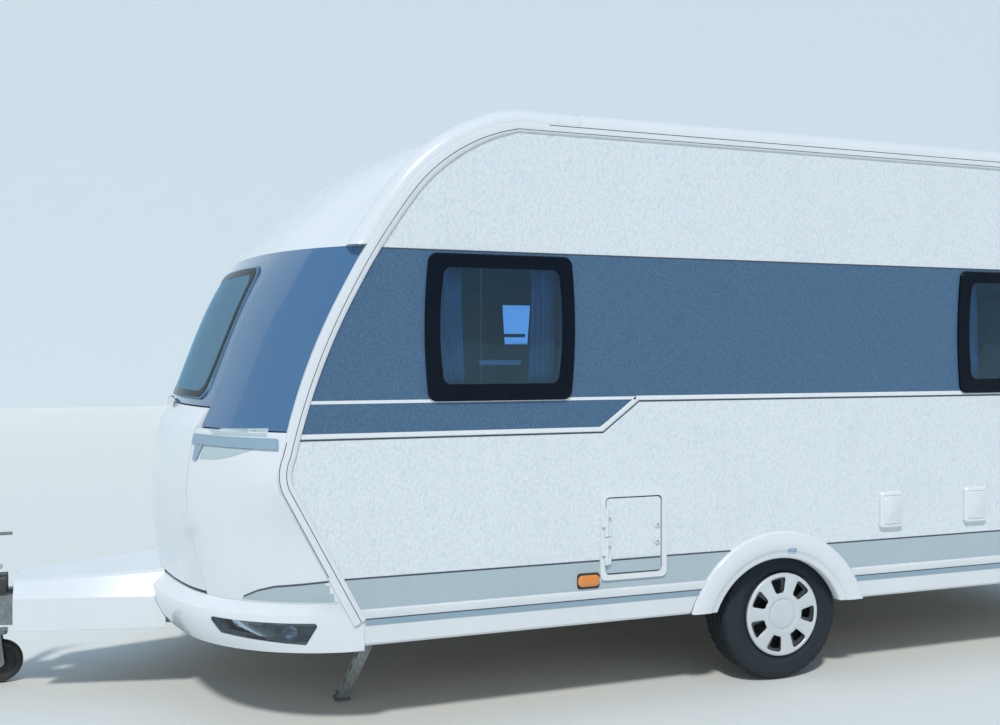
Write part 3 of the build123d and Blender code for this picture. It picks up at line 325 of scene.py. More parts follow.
def finishMesh(name, mesh, look, body, smooth):
    mesh.materials.clear()
    mesh.materials.append(look)
    obj = bpy.data.objects.new(name, mesh)
    scene.collection.objects.link(obj)
    work = bmesh.new()
    work.from_mesh(mesh)
    bmesh.ops.remove_doubles(work, verts=work.verts, dist=0.00001)
    bmesh.ops.recalc_face_normals(work, faces=work.faces)
    work.to_mesh(mesh)
    work.free()
    for face in mesh.polygons:
        face.use_smooth = True
    mesh.set_sharp_from_angle(angle=math.radians(smooth))
    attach(obj, body)
    return obj


def piece(name, points, faces, look, body=root, smooth=35):
    mesh = bpy.data.meshes.new(name)
    mesh.from_pydata([tuple(point) for point in points], [], faces)
    return finishMesh(name, mesh, look, body, smooth)


def bridge(loops, closeEnd=True, closeStart=False, ring=True):
    points, faces = [], []
    count = len(loops[0])
    for loop in loops:
        points += loop
    for row in range(len(loops) - 1):
        for step in range(count if ring else count - 1):
            a = row * count + step
            b = row * count + (step + 1) % count
            faces.append((a, b, b + count, a + count))
    if closeEnd:
        faces.append(tuple(range((len(loops) - 1) * count, len(loops) * count)))
    if closeStart:
        faces.append(tuple(range(count)))
    return points, faces


def solid(name, loops, look, body=root, smooth=35):
    return piece(name, *bridge(loops, True, True), look, body, smooth)


def stand(made, node):
    for obj in made:
        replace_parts(obj, node)


def sideSpot(side, face=halfWidth):
    return lambda u, v, out: (u, side * (face + out), v)


def rearSpot(u, v, out):
    return (rearFace + out, u, v)


def roofSpot(u, v, out):
    return (u, v, roofTop + out)


def curveMesh(name, curve):
    source = bpy.data.objects.new(name + "Curve", curve)
    mesh = bpy.data.meshes.new_from_object(source)
    bpy.data.objects.remove(source)
    return mesh


def plate(name, loops, spot, look, body=root, depth=filmDepth):
    # Flat loops, the first the outline and the rest holes, laid on a face
    curve = bpy.data.curves.new(name, "CURVE")
    curve.dimensions = "2D"
    curve.fill_mode = "BOTH"
    curve.extrude = depth / 2
    for loop in loops:
        spline = curve.splines.new("POLY")
        spline.points.add(len(loop) - 1)
        for dot, (u, v) in zip(spline.points, loop):
            dot.co = (u, v, 0, 1)
        spline.use_cyclic_u = True
    mesh = curveMesh(name, curve)
    for vertex in mesh.vertices:
        u, v, out = vertex.co
        vertex.co = spot(u, v, depth / 2 + out)
    return finishMesh(name, mesh, look, body, 35)


def rod(name, path, radius, look, body=root):
    # A round bar or pipe along points
    curve = bpy.data.curves.new(name, "CURVE")
    curve.dimensions = "3D"
    curve.bevel_depth = radius
    curve.bevel_resolution = 4
    curve.use_fill_caps = True
    spline = curve.splines.new("NURBS")
    spline.points.add(len(path) - 1)
    for dot, point in zip(spline.points, path):
        dot.co = (*point, 1)
    spline.order_u = 3
    spline.use_endpoint_u = True
    return finishMesh(name, curveMesh(name, curve), look, body, 60)


def polar(cx, cz, radius, angle):
    return cx + radius * math.cos(angle), cz + radius * math.sin(angle)


def arcPoints(first, middle, last, count=14):
    # Points of the arc through three points
    ax, az = first
    bx, bz = middle
    cx, cz = last
    d = 2 * (ax * (bz - cz) + bx * (cz - az) + cx * (az - bz))
    a2, b2, c2 = ax**2 + az**2, bx**2 + bz**2, cx**2 + cz**2
    ux = (a2 * (bz - cz) + b2 * (cz - az) + c2 * (az - bz)) / d
    uz = (a2 * (cx - bx) + b2 * (ax - cx) + c2 * (bx - ax)) / d
    radius = math.hypot(ax - ux, az - uz)
    start = math.atan2(az - uz, ax - ux)
    turn = math.atan2(cz - uz, cx - ux) - start
    turn = (turn + math.pi) % (2 * math.pi) - math.pi
    return [polar(ux, uz, radius, start + turn * step / count) for step in range(count + 1)]


def runs(path, closed=False):
    # The step from the point before to the point after, at each point of a path
    last = len(path) - 1
    for index in range(len(path)):
        before = path[index - 1] if closed else path[max(index - 1, 0)]
        after = path[(index + 1) % len(path)] if closed else path[min(index + 1, last)]
        dx, dz = after[0] - before[0], after[1] - before[1]
        yield dx, dz, math.hypot(dx, dz) or 1


def offsetPath(path, gap):
    # Moves an open path to its right-hand side
    return [(x + gap * dz / length, z - gap * dx / length)
            for (x, z), (dx, dz, length) in zip(path, runs(path))]


def shrinkLoop(loop, gap):
    # Moves a closed counter-clockwise loop inwards
    return [(x - gap * dz / length, z + gap * dx / length)
            for (x, z), (dx, dz, length) in zip(loop, runs(loop, True))]


def ribbon(path, width):
    return offsetPath(path, -width / 2) + offsetPath(path, width / 2)[::-1]


def stripe(name, path, width, spot, look, lift=1.4, body=root):
    # A line of even width, lift times as thick as a film
    return plate(name, [ribbon(path, width)], spot, look, body, filmDepth * lift)


def box(x0, x1, z0, z1):
    return [(x0, z0), (x0, z1), (x1, z1), (x1, z0)]


def roundedLoop(x0, x1, z0, z1, radius, count=6):
    loop = []
    for cx, cz, start in ((x1 - radius, z0 + radius, -90), (x1 - radius, z1 - radius, 0),
                          (x0 + radius, z1 - radius, 90), (x0 + radius, z0 + radius, 180)):
        loop += [polar(cx, cz, radius, math.radians(start + 90 * step / count)) for step in range(count + 1)]
    return loop


def circleLoop(cx, cz, radius, count=32):
    return [polar(cx, cz, radius, 2 * math.pi * step / count) for step in range(count)]


def steppedLoops(loop, spot, rings):
    # The loop again for each ring, drawn in by its gap and set at its height
    return [[spot(u, v, out) for u, v in shrinkLoop(loop, gap)] for gap, out in rings]


def button(name, loop, spot, low, high, look, body=root, soft=0.002):
    # A raised part with a softened rim, from a counter-clockwise loop
    rings = [(0, low), (0, high - soft), (soft * 0.3, high - soft * 0.3), (soft, high)]
    return solid(name, steppedLoops(loop, spot, rings), look, body, 50)


# The outer line of the edge moulding, from its foot over the brow to the eaves and back along the roof
frontEdge = [(-1.393, 0.453), (-1.500, 0.656), (-1.600, 0.846)]
frontEdge += arcPoints((-1.681, 1.000), (-1.694, 1.072), (-1.677, 1.150), 6)
brow = [(-1.677, 1.150), (-1.569, 1.510), (-1.424, 1.830), (-1.298, 2.050), (-1.154, 2.256), (-0.985, 2.408),
        (-0.690, eaves)]
for first, middle, last in zip(brow[::2], brow[1::2], brow[2::2]):
    frontEdge += arcPoints(first, middle, last)[1:]
moulding = {"front": 0.056, "eaves": 0.044, "face": 0.0092, "groove": 0.034, "grooveHalf": 0.0015,
            "rimStart": 1.985, "rimEnd": -0.500, "rimRadius": 0.060, "rimProud": 0.003}
wholeEdge = frontEdge + [(moulding["rimEnd"], eaves), (rearEnd, eaves)]


def edgeAt(z):
    # Where the films' front end stands at a height
    path = offsetPath(wholeEdge, trimWidth)
    for low, high in zip(path, path[1:]):
        if low[1] <= z <= high[1]:
            return low[0] + (high[0] - low[0]) * (z - low[1]) / (high[1] - low[1])
    return path[-1][0]


def frontRun(low, high):
    # The stretch of the films' front end between two heights
    path = [(x, z) for x, z in offsetPath(wholeEdge, trimWidth) if low < z < high]
    return [(edgeAt(low), low)] + path + [(edgeAt(high), high)]


windowBow = 0.018
cornerSteps = 8


def bowedLoop(centre, width, foot, head, radius=0.036, steps=8):
    # Straight head and foot, rounded corners, sides that bow out a little
    loop = roundedLoop(centre - width / 2, centre + width / 2, foot, head, radius, cornerSteps)
    filled = []
    for index, (x, z) in enumerate(loop):
        nextX, nextZ = loop[(index + 1) % len(loop)]
        filled.append((x, z))
        if index % (cornerSteps + 1) == cornerSteps:
            for step in range(1, steps):
                filled.append((x + (nextX - x) * step / steps, z + (nextZ - z) * step / steps))
    middle = (foot + head) / 2
    bowed = []
    for x, z in filled:
        lift = windowBow * (1 - ((z - middle) / ((head - foot) / 2)) ** 2)
        bowed.append((centre + (width / 2 - windowBow + lift) * (x - centre) / (width / 2), z))
    return bowed


# Films on both side walls: dark band with its lower strip, grey foot band and their lines
for side, word, windows in walls:
    wall = sideSpot(side)
    holes = [bowedLoop(c, w - 2 * filmGap, f + filmGap, h - filmGap) for c, w, f, h in windows]
    bandRun = frontRun(bandFoot, bandTop)
    if side < 0:
        plate("band" + word, [[*bandRun, (rearEnd, bandTop), (rearEnd, bandFoot)], *holes], wall, slateFilm)
        stripTop, stripFoot = bandFoot - band["line"], band["stripFoot"]
        plate("bandStrip" + word, [[*frontRun(stripFoot, stripTop), (band["stepHigh"] - 0.010, stripTop),
                                    (band["stepLow"], stripFoot)]], wall, slateFilm)
        below, highLine = stripFoot - band["lowLine"] / 2, bandTop - filmGap
        low, high = underLine["low"], underLine["high"]
        lines = [
            ("bandLineLow", [(edgeAt(below), below), (band["stepLow"] + 0.004, below),
                             (band["stepHigh"] + 0.004, lineZ), (rearEnd, lineZ)],
             band["lowLine"], whiteLine, 1.4),
            ("bandLine", [(edgeAt(bandFoot), lineZ), (band["stepHigh"], lineZ)], band["line"], whiteLine, 1.4),
            ("underLine", [(edgeAt(low), low), (underLine["stepLow"], low), (underLine["stepHigh"], high),
                           (rearEnd, high)], underLine["line"], darkLineAndGapShade, 1.2),
            ("topLine", [(edgeAt(highLine), highLine), (rearEnd, highLine)], band["topLine"], darkLineAndGapShade, 1.4),
        ]
        for name, path, width, look, lift in lines:
            stripe(name + word, path, width, wall, look, lift)
    else:
        doorFront, doorRear = doorX[0] - filmGap, doorX[1] + filmGap
        plate("band" + word, [[*bandRun, (doorFront, bandTop), (doorFront, bandFoot)], holes[0]], wall,
              slateFilm)
        plate("bandRear" + word, [box(doorRear, rearEnd, bandFoot, bandTop), *holes[1:]], wall, slateFilm)
        for name, x0, x1 in (("A", edgeAt(bandFoot), doorFront), ("B", doorRear, rearEnd)):
            stripe("bandLine" + word + name, [(x0, lineZ), (x1, lineZ)], band["line"], wall, whiteLine)
    # Grey foot band, open for the arch, the hatch frame and the door
    gap = hatchFrame if side < 0 else doorX
    low, high = gap[0] - 0.001, gap[1] + 0.001
    foot, top = greyBand["foot"], greyBand["top"]
    reach = arch["radius"] + filmGap
    archSteps = [(arch["x"] - math.sqrt(reach**2 - (z - arch["z"]) ** 2), z)
                 for z in [top + (foot - top) * step / 8 for step in range(9)]]
    archRear = [(2 * arch["x"] - x, z) for x, z in archSteps]
    greys = [("greyFront", [*frontRun(foot, top), (low, top), (low, foot)]),
             ("greyMiddle", [(high, foot), (high, top), *archSteps]),
             ("greyRear", [(rearEnd, foot), (rearEnd, top), *archRear])]
    if side < 0:
        greys.insert(1, ("greyBelow", box(low, high, foot, hatchFrame[2])))
    for name, loop in greys:
        plate(name + word, [loop], wall, greyFilm)
    for name, x0, x1 in (("A", edgeAt(top), low), ("B", high, archSteps[0][0]), ("C", archRear[0][0], rearEnd)):
        stripe("greyLine" + word + name, [(x0, top), (x1, top)], greyBand["line"], wall, darkLineAndGapShade)
print("films laid")


def shellTree(*names):
    points, faces = [], []
    for name in names:
        mesh = nodes[name].data
        first = len(points)
        points += [vertex.co.copy() for vertex in mesh.vertices]
        faces += [[first + index for index in polygon.vertices] for polygon in mesh.polygons]
    return BVHTree.FromPolygons(points, faces)


# Edge mouldings: a wide strip with a groove whose dark strip is painted shade, from the shell's face over the
# wall's edge to the rear
bodyShell = shellTree("front_cheeks", "corner_panels", "roof_nose", "side_wall_left", "side_wall_right", "roof")


def shellFace(x, z, side):
    # How far out the body's skin stands beside a point of the side view
    spot = bodyShell.ray_cast(Vector((x, side * 1.4, z)), Vector((0, -side, 0)))[0]
    return min(abs(spot.y) if spot else halfWidth, halfWidth)


edgePoints = wholeEdge[:-1] + [(x, eaves) for x in (0.4, 1.3, 2.2)] + [wholeEdge[-1]]
edgeRun = [(x, z, -dz / length, dx / length) for (x, z), (dx, dz, length) in zip(edgePoints, runs(edgePoints))]
face = moulding["face"]
grooveLow = moulding["groove"] - moulding["grooveHalf"]
grooveHigh = moulding["groove"] + moulding["grooveHalf"]
# Profile of the dark strip on the groove's floor: painted shade in the groove
dark = [(grooveLow, 0.0058), (grooveLow, 0.0066), (grooveHigh, 0.0066), (grooveHigh, 0.0058)]
radius = moulding["rimRadius"]
arc = [(radius * math.sin(math.radians(angle)),
        halfWidth + moulding["rimProud"] - radius + radius * math.cos(math.radians(angle)))
       for angle in range(0, 91, 9)]
tail = [(radius, 1.075), (radius * 0.97, 1.040), (radius * 0.86, 1.000), (radius * 0.62, 0.950),
        (radius * 0.30, 0.900), (0.004, 0.900), (-0.004, 1.120)]
for side, word in sides:
    strips, grooveShadeLoops, rims = [], [], []
    for x, z, nx, nz in edgeRun:
        share = min(max((x + 1.0) / 0.31, 0), 1)
        width = moulding["front"] + (moulding["eaves"] - moulding["front"]) * share
        low = halfWidth - shellFace(x - nx * 0.001, z - nz * 0.001, side) + 0.003
        section = [(0.0, -low), (0.0, 0.0035), (0.0025, 0.0080), (0.007, face), (grooveLow, face),
                   (grooveLow, 0.0060), (grooveHigh, 0.0060), (grooveHigh, face), (width - 0.005, 0.0085),
                   (width - 0.001, 0.0060), (width, 0.0002), (width, -0.0005), (0.010, -0.0005)]
        for profile, loops in ((section, strips), (dark, grooveShadeLoops)):
            loops.append([(x - nx * gap, side * (halfWidth + out), z - nz * gap) for gap, out in profile])
        if z < moulding["rimStart"] - 0.03 or x > moulding["rimEnd"] + 0.001:
            continue
        fade = 1 - 0.012 * min(max((x + 0.69) / 0.19, 0), 1)
        rims.append([(x + nx * out * fade, side * (y if y < halfWidth else halfWidth + (y - halfWidth) * fade),
                      max(z + nz * out * fade, moulding["rimStart"] + 0.0004)) for out, y in arc + tail])
    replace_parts(solid("edgeStrip" + word, strips, smoothWhite, root, 30), "edge_trims")
    # The groove's dark strip is painted shade
    solid("edgeGrooveShade" + word, grooveShadeLoops, darkLineAndGapShade)
    # Thin dark lines near the moulding's outer edge: painted shade of the gap there
    lines = [("Shell", [point for point in offsetPath(frontEdge, 0.0055) if 0.47 < point[1] < 1.21]),
             ("Eaves", [(-0.55, eaves - 0.0085), (rearEnd, eaves - 0.0085)])]
    for name, path in lines:
        stripe("edgeGapShade" + name + word, path, 0.003, sideSpot(side, halfWidth + face), darkLineAndGapShade, 0.5)
    # Rounded rim of the nose, from the top of the corner panel to the roof
    solid("noseRim" + word, rims, glossWhite, root, 40)
print("mouldings swept")

# Windows: black border, bulged tinted pane with a sloping head, rubber inside and the catch
windowParts = {"bulge": 0.028, "inner": 0.044, "catchWidth": 0.190, "catchRise": 0.150, "catchHeight": 0.022}


def windowSet(name, spot, centre, width, foot, head, body=root, border=0.044, slope=0.115,
              bulge=windowParts["bulge"]):
    def loop(inset, out, radius, low=None, high=None):
        low, high = (inset, inset) if low is None else (low, high)
        outline = bowedLoop(centre, width - 2 * inset, foot + low, head - high, radius)
        return [spot(u, v, out) for u, v in outline]

    glassEdge = loop(border, 0.016, 0.030, border + 0.008, border - 0.004)
    edge = [loop(0.001, -0.004, 0.036), loop(0.001, 0.010, 0.036), loop(0.006, 0.015, 0.034), glassEdge]
    pane = [glassEdge, loop(border + 0.020, bulge - 0.0015, 0.026, border + 0.030, slope),
            loop(border + 0.026, bulge, 0.022, border + 0.038, slope + 0.008)]
    inner = min(border, windowParts["inner"])
    back = [loop(0.001, -0.004, 0.036), loop(0.001, -0.030, 0.036), loop(inner, -0.030, 0.030),
            loop(inner, -0.008, 0.030)]
    half = min(windowParts["catchWidth"], width * 0.4) / 2
    rise = foot + windowParts["catchRise"] * min(1.0, (head - foot) / 0.6)
    catch = roundedLoop(centre - half, centre + half, rise, rise + windowParts["catchHeight"], 0.009)
    return [piece(name + "Border", *bridge(edge, False), blackPrint, body),
            piece(name + "Pane", *bridge(pane), tintedPane, body, 20),
            piece(name + "Inner", *bridge(back, False), blackRubber, body),
            button(name + "Catch", catch, spot, -0.024, -0.008, whiteLine, body, 0.004)]


for side, word, windows in walls:
    node = "windows_" + word.lower()
    for index, window in enumerate(windows):
        border, slope = (0.018, 0.040) if window[1] < 0.4 else (0.064, 0.140)
        stand(windowSet(node + str(index), sideSpot(side), *window, root, border, slope), node)
stand(windowSet("doorPane", sideSpot(1, doorFace), *doorPane, door, 0.040, 0.085, 0.020), "door_window")
stand(windowSet("rearPane", rearSpot, *rearPane), "rear_window")
print("windows built")

# Gathered curtains at both ends of each side window
curtain = {"pitch": 0.027, "depth": 0.0095, "span": 0.205, "share": 0.30, "hang": 0.060, "rows": 8,
           "below": 0.026, "above": 0.004, "beside": 0.008}
for side, word, windows in walls:
    for index, (centre, width, foot, head) in enumerate(windows):
        span = min(curtain["span"], width * curtain["share"])
        for end, tag in ((-1, "Front"), (1, "Rear")):
            rows, columns = curtain["rows"], int(span / curtain["pitch"] * 8)
            low, high = foot - curtain["below"], head + curtain["above"]
            points, faces = [], []
            for row in range(rows + 1):
                drop = row / rows
                z = high + (low - high) * drop
                for column in range(columns + 1):
                    step = column / columns
                    sway = 0.006 * math.sin(3.1 * drop + 7 * step + index)
                    inward = span * (0.94 + 0.06 * drop) * step
                    x = centre + end * (width / 2 + curtain["beside"] - inward + sway * step)
                    swell = curtain["depth"] * (0.75 + 0.25 * drop) * (1 + 0.18 * math.sin(11 * step + side))
                    out = halfWidth - curtain["hang"] + swell * math.sin(2 * math.pi * column / 8 + 0.5 * drop)
                    points.append((x, side * out, z))
            for row in range(rows):
                for column in range(columns):
                    a = row * (columns + 1) + column
                    faces.append((a, a + 1, a + columns + 2, a + columns + 1))
            made = piece("curtain" + word + str(index) + tag, points, faces, curtainCloth, root, 70)
            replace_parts(made, "curtains")
print("curtains hung")


def islands(name):
    # The boxes of a node's separate bodies
    work = bmesh.new()
    work.from_mesh(nodes[name].data)
    seen, boxes = set(), []
    for start in work.verts:
        if start in seen:
            continue
        stack, members = [start], []
        seen.add(start)
        while stack:
            vertex = stack.pop()
            members.append(vertex.co)
            for edge in vertex.link_edges:
                other = edge.other_vert(vertex)
                if other not in seen:
                    seen.add(other)
                    stack.append(other)
        boxes.append([[pick(co[axis] for co in members) for axis in range(3)] for pick in (min, max)])
    work.free()
    return sorted(boxes)


pad = {"cuts": 11, "pinch": 0.022, "crown": 0.30, "welt": 0.004, "ripple": 0.0025, "fill": 0.75}


def cushion(name, low, high):
    # A crowned pad, flat below, with sides drawn in between its corners and a welt round the middle
    work = bmesh.new()
    bmesh.ops.create_cube(work, size=2)
    bmesh.ops.subdivide_edges(work, edges=work.edges[:], cuts=pad["cuts"], use_grid_fill=True)
    half = [(b - a) / 2 for a, b in zip(low, high)]
    middle = [(a + b) / 2 for a, b in zip(low, high)]
    for vertex in work.verts:
        a, b, c = vertex.co
        size = (abs(a) ** 9 + abs(b) ** 9 + abs(c) ** 9) ** (1 / 9)
        a, b, c = a / size, b / size, c / size
        drawA = 1 - pad["pinch"] * (1 - b * b) / max(half[0], 0.2) * 0.5
        drawB = 1 - pad["pinch"] * (1 - a * a) / max(half[1], 0.2) * 0.5
        if c > 0:
            c = c * (1 - pad["crown"] + pad["crown"] * (1 - a**4) * (1 - b**4))
        welt = pad["welt"] if abs(vertex.co.z) < 0.01 else 0
        x = middle[0] + a * drawA * (half[0] - pad["welt"] + welt)
        y = middle[1] + b * drawB * (half[1] - pad["welt"] + welt)
        z = middle[2] + c * (half[2] - 0.003)
        ripple = pad["ripple"] * noise.noise(Vector((x * 7, y * 7, z * 7)))
        vertex.co = (x, y, z + (ripple if c > 0.2 else 0))
    mesh = bpy.data.meshes.new(name)
    work.to_mesh(mesh)
    work.free()
    obj = finishMesh(name, mesh, cloth, root, 60)
    smoother = obj.modifiers.new("soften", "SUBSURF")
    smoother.levels = smoother.render_levels = 1
    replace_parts(obj, "cushions")


for index, (low, high) in enumerate(islands("cushions")):
    cushion("cushion" + str(index), low, high)
print("cushions padded")

# Thin parts that lie on the moulded front shell
frontShell = shellTree("front_cheeks", "corner_panels")
shellMiddle = -0.9


def onShell(point, lift):
    # The shell's outer face where a level line from the middle through the point meets it
    point = Vector(point)
    axis = Vector((shellMiddle, 0, point.z))
    outward = (point - axis).normalized()
    spot, normal, _, _ = frontShell.ray_cast(axis + outward * 3, -outward)
    if spot is None:
        spot, normal, _, _ = frontShell.find_nearest(point)
    if normal.dot(outward) < 0:
        normal = -normal
    return spot + normal * lift


def along(path, share):
    lengths = [math.dist(a, b) for a, b in zip(path, path[1:])]
    left = share * sum(lengths)
    for a, b, length in zip(path, path[1:], lengths):
        if left <= length or b is path[-1]:
            t = min(left / length, 1) if length else 0
            return [p + (q - p) * t for p, q in zip(a, b)]
        left -= length


def skinPatch(name, topLine, footLine, look, lift=0.0015, rows=5, columns=26):
    for side, word in ((1, "Left"), (-1, "Right")):
        loops = []
        for column in range(columns + 1):
            top = along(topLine, column / columns)
            foot = along(footLine, column / columns)
            outer, inner = [], []
            for row in range(rows + 1):
                x, y, z = [a + (b - a) * row / rows for a, b in zip(top, foot)]
                outer.append(onShell((x, side * y, z), lift))
                inner.append(onShell((x, side * y, z), -0.0008))
            loops.append(outer + inner[::-1])
        solid(name + word, loops, look, root, 40)


recessTop = [(-1.918, -0.806, 1.238), (-1.830, -0.940, 1.243), (-1.720, -1.072, 1.250)]
recessFoot = [(-1.904, -0.832, 1.216), (-1.721, -1.072, 1.219)]
# Painted shade: a flat pale grey film stands in for the shade inside the handle recess
skinPatch("handRecessShade", recessTop, recessFoot, paleGreyAndRecessShade)
legTop = [(-1.9655, -0.746, 1.168), (-1.933, -0.797, 1.168)]
legFoot = [(-1.976, -0.746, 1.103), (-1.962, -0.768, 1.103)]
skinPatch("waistLeg", legTop, legFoot, stripGreyAndRailShadow, 0.008, 4, 6)
# Painted shade: the pale grey crescent below the handle stands in for the shade of the concave crease there
crescentTop = [(-1.930, -0.802, 1.168), (-1.850, -0.935, 1.170), (-1.772, -1.050, 1.171)]
crescentFoot = [(-1.957, -0.789, 1.110), (-1.900, -0.890, 1.117), (-1.856, -0.955, 1.130),
                (-1.800, -1.028, 1.155), (-1.769, -1.056, 1.170)]
skinPatch("waistCrescentShade", crescentTop, crescentFoot, paleGreyAndRecessShade)
wrapTop = [(-1.437, -1.149, 0.644), (-1.498, -1.140, 0.641), (-1.602, -1.109, 0.629), (-1.693, -1.061, 0.618),
           (-1.755, -1.018, 0.598), (-1.809, -0.972, 0.568)]
wrapFoot = [(-1.437, -1.149, 0.556), (-1.602, -1.109, 0.556), (-1.755, -1.018, 0.556), (-1.818, -0.965, 0.556)]
skinPatch("greyWrap", wrapTop, wrapFoot, greyFilm, 0.0012)
halfLine = greyBand["line"] / 2
skinPatch("greyWrapLine", [(x, y, z + halfLine) for x, y, z in wrapTop],
          [(x, y, z - halfLine) for x, y, z in wrapTop], darkLineAndGapShade, 0.002, 1, 40)
print("front shell dressed")

# Printed black edge of the front window
paneShell = shellTree("front_window")
paneEdge = {"half": 0.636, "foot": 1.354, "head": 1.926, "radius": 0.058, "inset": 0.002, "border": 0.030,
            "lift": 0.0012, "sunk": -0.0008, "steps": 64}
rings = []
for inset, lift in (("inset", "sunk"), ("inset", "lift"), ("border", "lift"), ("border", "sunk")):
    gap = paneEdge[inset]
    ring = []
    for y, z in bowedLoop(0.0, 2 * (paneEdge["half"] - gap), paneEdge["foot"] + gap, paneEdge["head"] - gap,
                          paneEdge["radius"], paneEdge["steps"]):
        spot, normal, _, _ = paneShell.ray_cast(Vector((-4, y, z)), Vector((1, 0, 0)))
        if spot is None:
            spot, normal, _, _ = paneShell.find_nearest(Vector((-2.0, y, z)))
        normal = -normal if normal.x > 0 else normal
        ring.append(spot + normal * paneEdge[lift])
    rings.append(ring)
piece("frontPaneBorder", *bridge(rings + [rings[0]], False), blackPrint)

# Front lamps: dark bowl, reflectors and their bulbs behind the lens
lamp = {"bearing": (-1.730, -1.003), "heading": (0.844, -0.535),
        "corners": [(-0.183, 0.414), (0.187, 0.384), (0.241, 0.473), (-0.241, 0.480)],
        "bowl": [(0.008, -0.019), (0.011, -0.036), (0.022, -0.058)],
        "reflectors": [(0.112, 0.427, 0.027, brightMetal, clearPane),
                       (0.020, 0.436, 0.025, housingBlue, clearPane),
                       (-0.090, 0.441, 0.024, brightMetal, amber)]}
lensShell = shellTree("front_lamps", "front_bumper")


def lampSpot(side):
    hx, hy = lamp["heading"]
    outward = Vector((hy, -hx, 0))

    def spot(u, v, out):
        base = Vector((lamp["bearing"][0] + hx * u, lamp["bearing"][1] + hy * u, v))
        far = base + outward * 0.4
        far.y *= -side
        inward = Vector((-outward.x, side * outward.y, 0))
        hit = lensShell.ray_cast(far, inward)[0]
        return hit - inward * out if hit else far + inward * 0.4

    return spot


for side, word in sides:
    spot = lampSpot(side)
    corners = lamp["corners"]
    loop = []
    for (u0, v0), (u1, v1) in zip(corners, corners[1:] + corners[:1]):
        loop += [(u0 + (u1 - u0) * step / 12, v0 + (v1 - v0) * step / 12) for step in range(12)]
    piece("lampBowl" + word, *bridge(steppedLoops(loop, spot, lamp["bowl"])), housingBlue)
    for index, (u, v, radius, dishLook, bulbLook) in enumerate(lamp["reflectors"]):
        for name, count, look, rings in (
                ("Dish", 24, dishLook, ((1.12, 0.030), (1.0, 0.028), (0.8, 0.042), (0.35, 0.052))),
                ("Bulb", 16, bulbLook, ((0.30, 0.050), (0.34, 0.038), (0.26, 0.030), (0.10, 0.026)))):
            loops = [[spot(u + a, v + b, -depth) for a, b in circleLoop(0, 0, radius * grow, count)]
                     for grow, depth in rings]
            piece("lamp" + name + str(index) + word, *bridge(loops), look)
print("lamps fitted")

# Skirt strips: a raised white rail above a dark groove line and a narrow grey strip of painted shadow cast by
# the rail, broken by the arch and the door
skirtRail = {"start": -1.346, "face": halfWidth + 0.006, "proud": 0.008, "low": 0.483, "high": 0.519,
             "greyLow": 0.455, "lineZ": 0.4805}
low, high, proud = skirtRail["low"], skirtRail["high"], skirtRail["proud"]
railProfile = [(low, 0.0), (low, 0.006), (low + 0.004, proud), (high - 0.004, proud), (high, 0.005),
               (high, 0.0)]
# Painted shadow: this grey strip under the rail stands in for the shadow the rail casts
railShadowProfile = [(skirtRail["greyLow"], -0.004), (skirtRail["greyLow"], 0.0004), (low, 0.0018), (low, -0.004)]
archReach = math.sqrt((arch["radius"] + 0.004) ** 2 - (high - arch["z"]) ** 2)
archFront, archBack = arch["x"] - archReach, arch["x"] + archReach
for side, word in sides:
    spot = sideSpot(side, skirtRail["face"])
    stretches = [(skirtRail["start"], archFront), (archBack, rearEnd - 0.002)]
    if side > 0:
        stretches = [(skirtRail["start"], doorX[0] - 0.010), (doorX[1] + 0.010, archFront), stretches[1]]
    for index, (x0, x1) in enumerate(stretches):
        for name, profile, look in (("Rail", railProfile, smoothWhite), ("Grey", railShadowProfile, stripGreyAndRailShadow)):
            loops = [[spot(x, z, out) for z, out in profile] for x in (x0, x1)]
            solid("skirt" + name + word + str(index), loops, look)
        stripe("skirtLine" + word + str(index), [(x0, skirtRail["lineZ"]), (x1, skirtRail["lineZ"])], 0.005,
               sideSpot(side, skirtRail["face"] + 0.0016), darkLineAndGapShade, 1.0)
print("skirts dressed")

# Wheel arch mouldings with a rolled outer edge, a crease and an inner lip
archProfile = [(0.490, 0.0), (0.4895, 0.010), (0.486, 0.0165), (0.478, 0.0195), (0.440, 0.0205),
               (0.404, 0.0195), (0.399, 0.0165), (0.395, 0.0130), (0.376, 0.0125), (0.368, 0.0100),
               (0.363, 0.0040), (0.362, -0.034), (0.366, -0.034), (0.370, 0.0)]
archSegments = 72
for side, word in sides:
    loops = []
    for step in range(archSegments + 1):
        loop = []
        for radius, out in archProfile:
            start = math.asin((arch["foot"] - arch["z"]) / radius)
            x, z = polar(arch["x"], arch["z"], radius, start + (math.pi - 2 * start) * step / archSegments)
            loop.append((x, side * (halfWidth + out), z))
        loops.append(loop)
    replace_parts(solid("archMould" + word, loops, glossWhite, root, 50), "wheel_arches")
    tab = roundedLoop(0.655, 0.700, 0.622, 0.638, 0.004)
    button("archTab" + word, tab, sideSpot(side), 0.016, 0.0245, stripGreyAndRailShadow)
print("arches moulded")

# Tyres with ribbed sidewalls and a grooved tread
tread = {"half": 0.098, "drawnHalf": 0.0975, "turns": 252, "radius": 0.3105, "crown": 0.48, "groove": 0.007,
         "sipe": 0.0055, "narrow": 0.004, "skew": 0.05}
tyreSection = [(0.199, 0.084), (0.206, 0.089), (0.212, 0.0885), (0.216, 0.0915), (0.232, 0.0955),
               (0.236, 0.0972), (0.240, 0.0962), (0.262, 0.0975), (0.272, 0.0960), (0.276, 0.0968),
               (0.280, 0.0950), (0.292, 0.0915), (0.300, 0.0880), (0.3055, 0.0840)]
grooveRows = [0.0800, 0.0560, 0.0555, 0.0475, 0.0470, 0.0200, 0.0195, 0.0115, 0.0110]
grooveDeep = {0.0555, 0.0475, 0.0195, 0.0115}


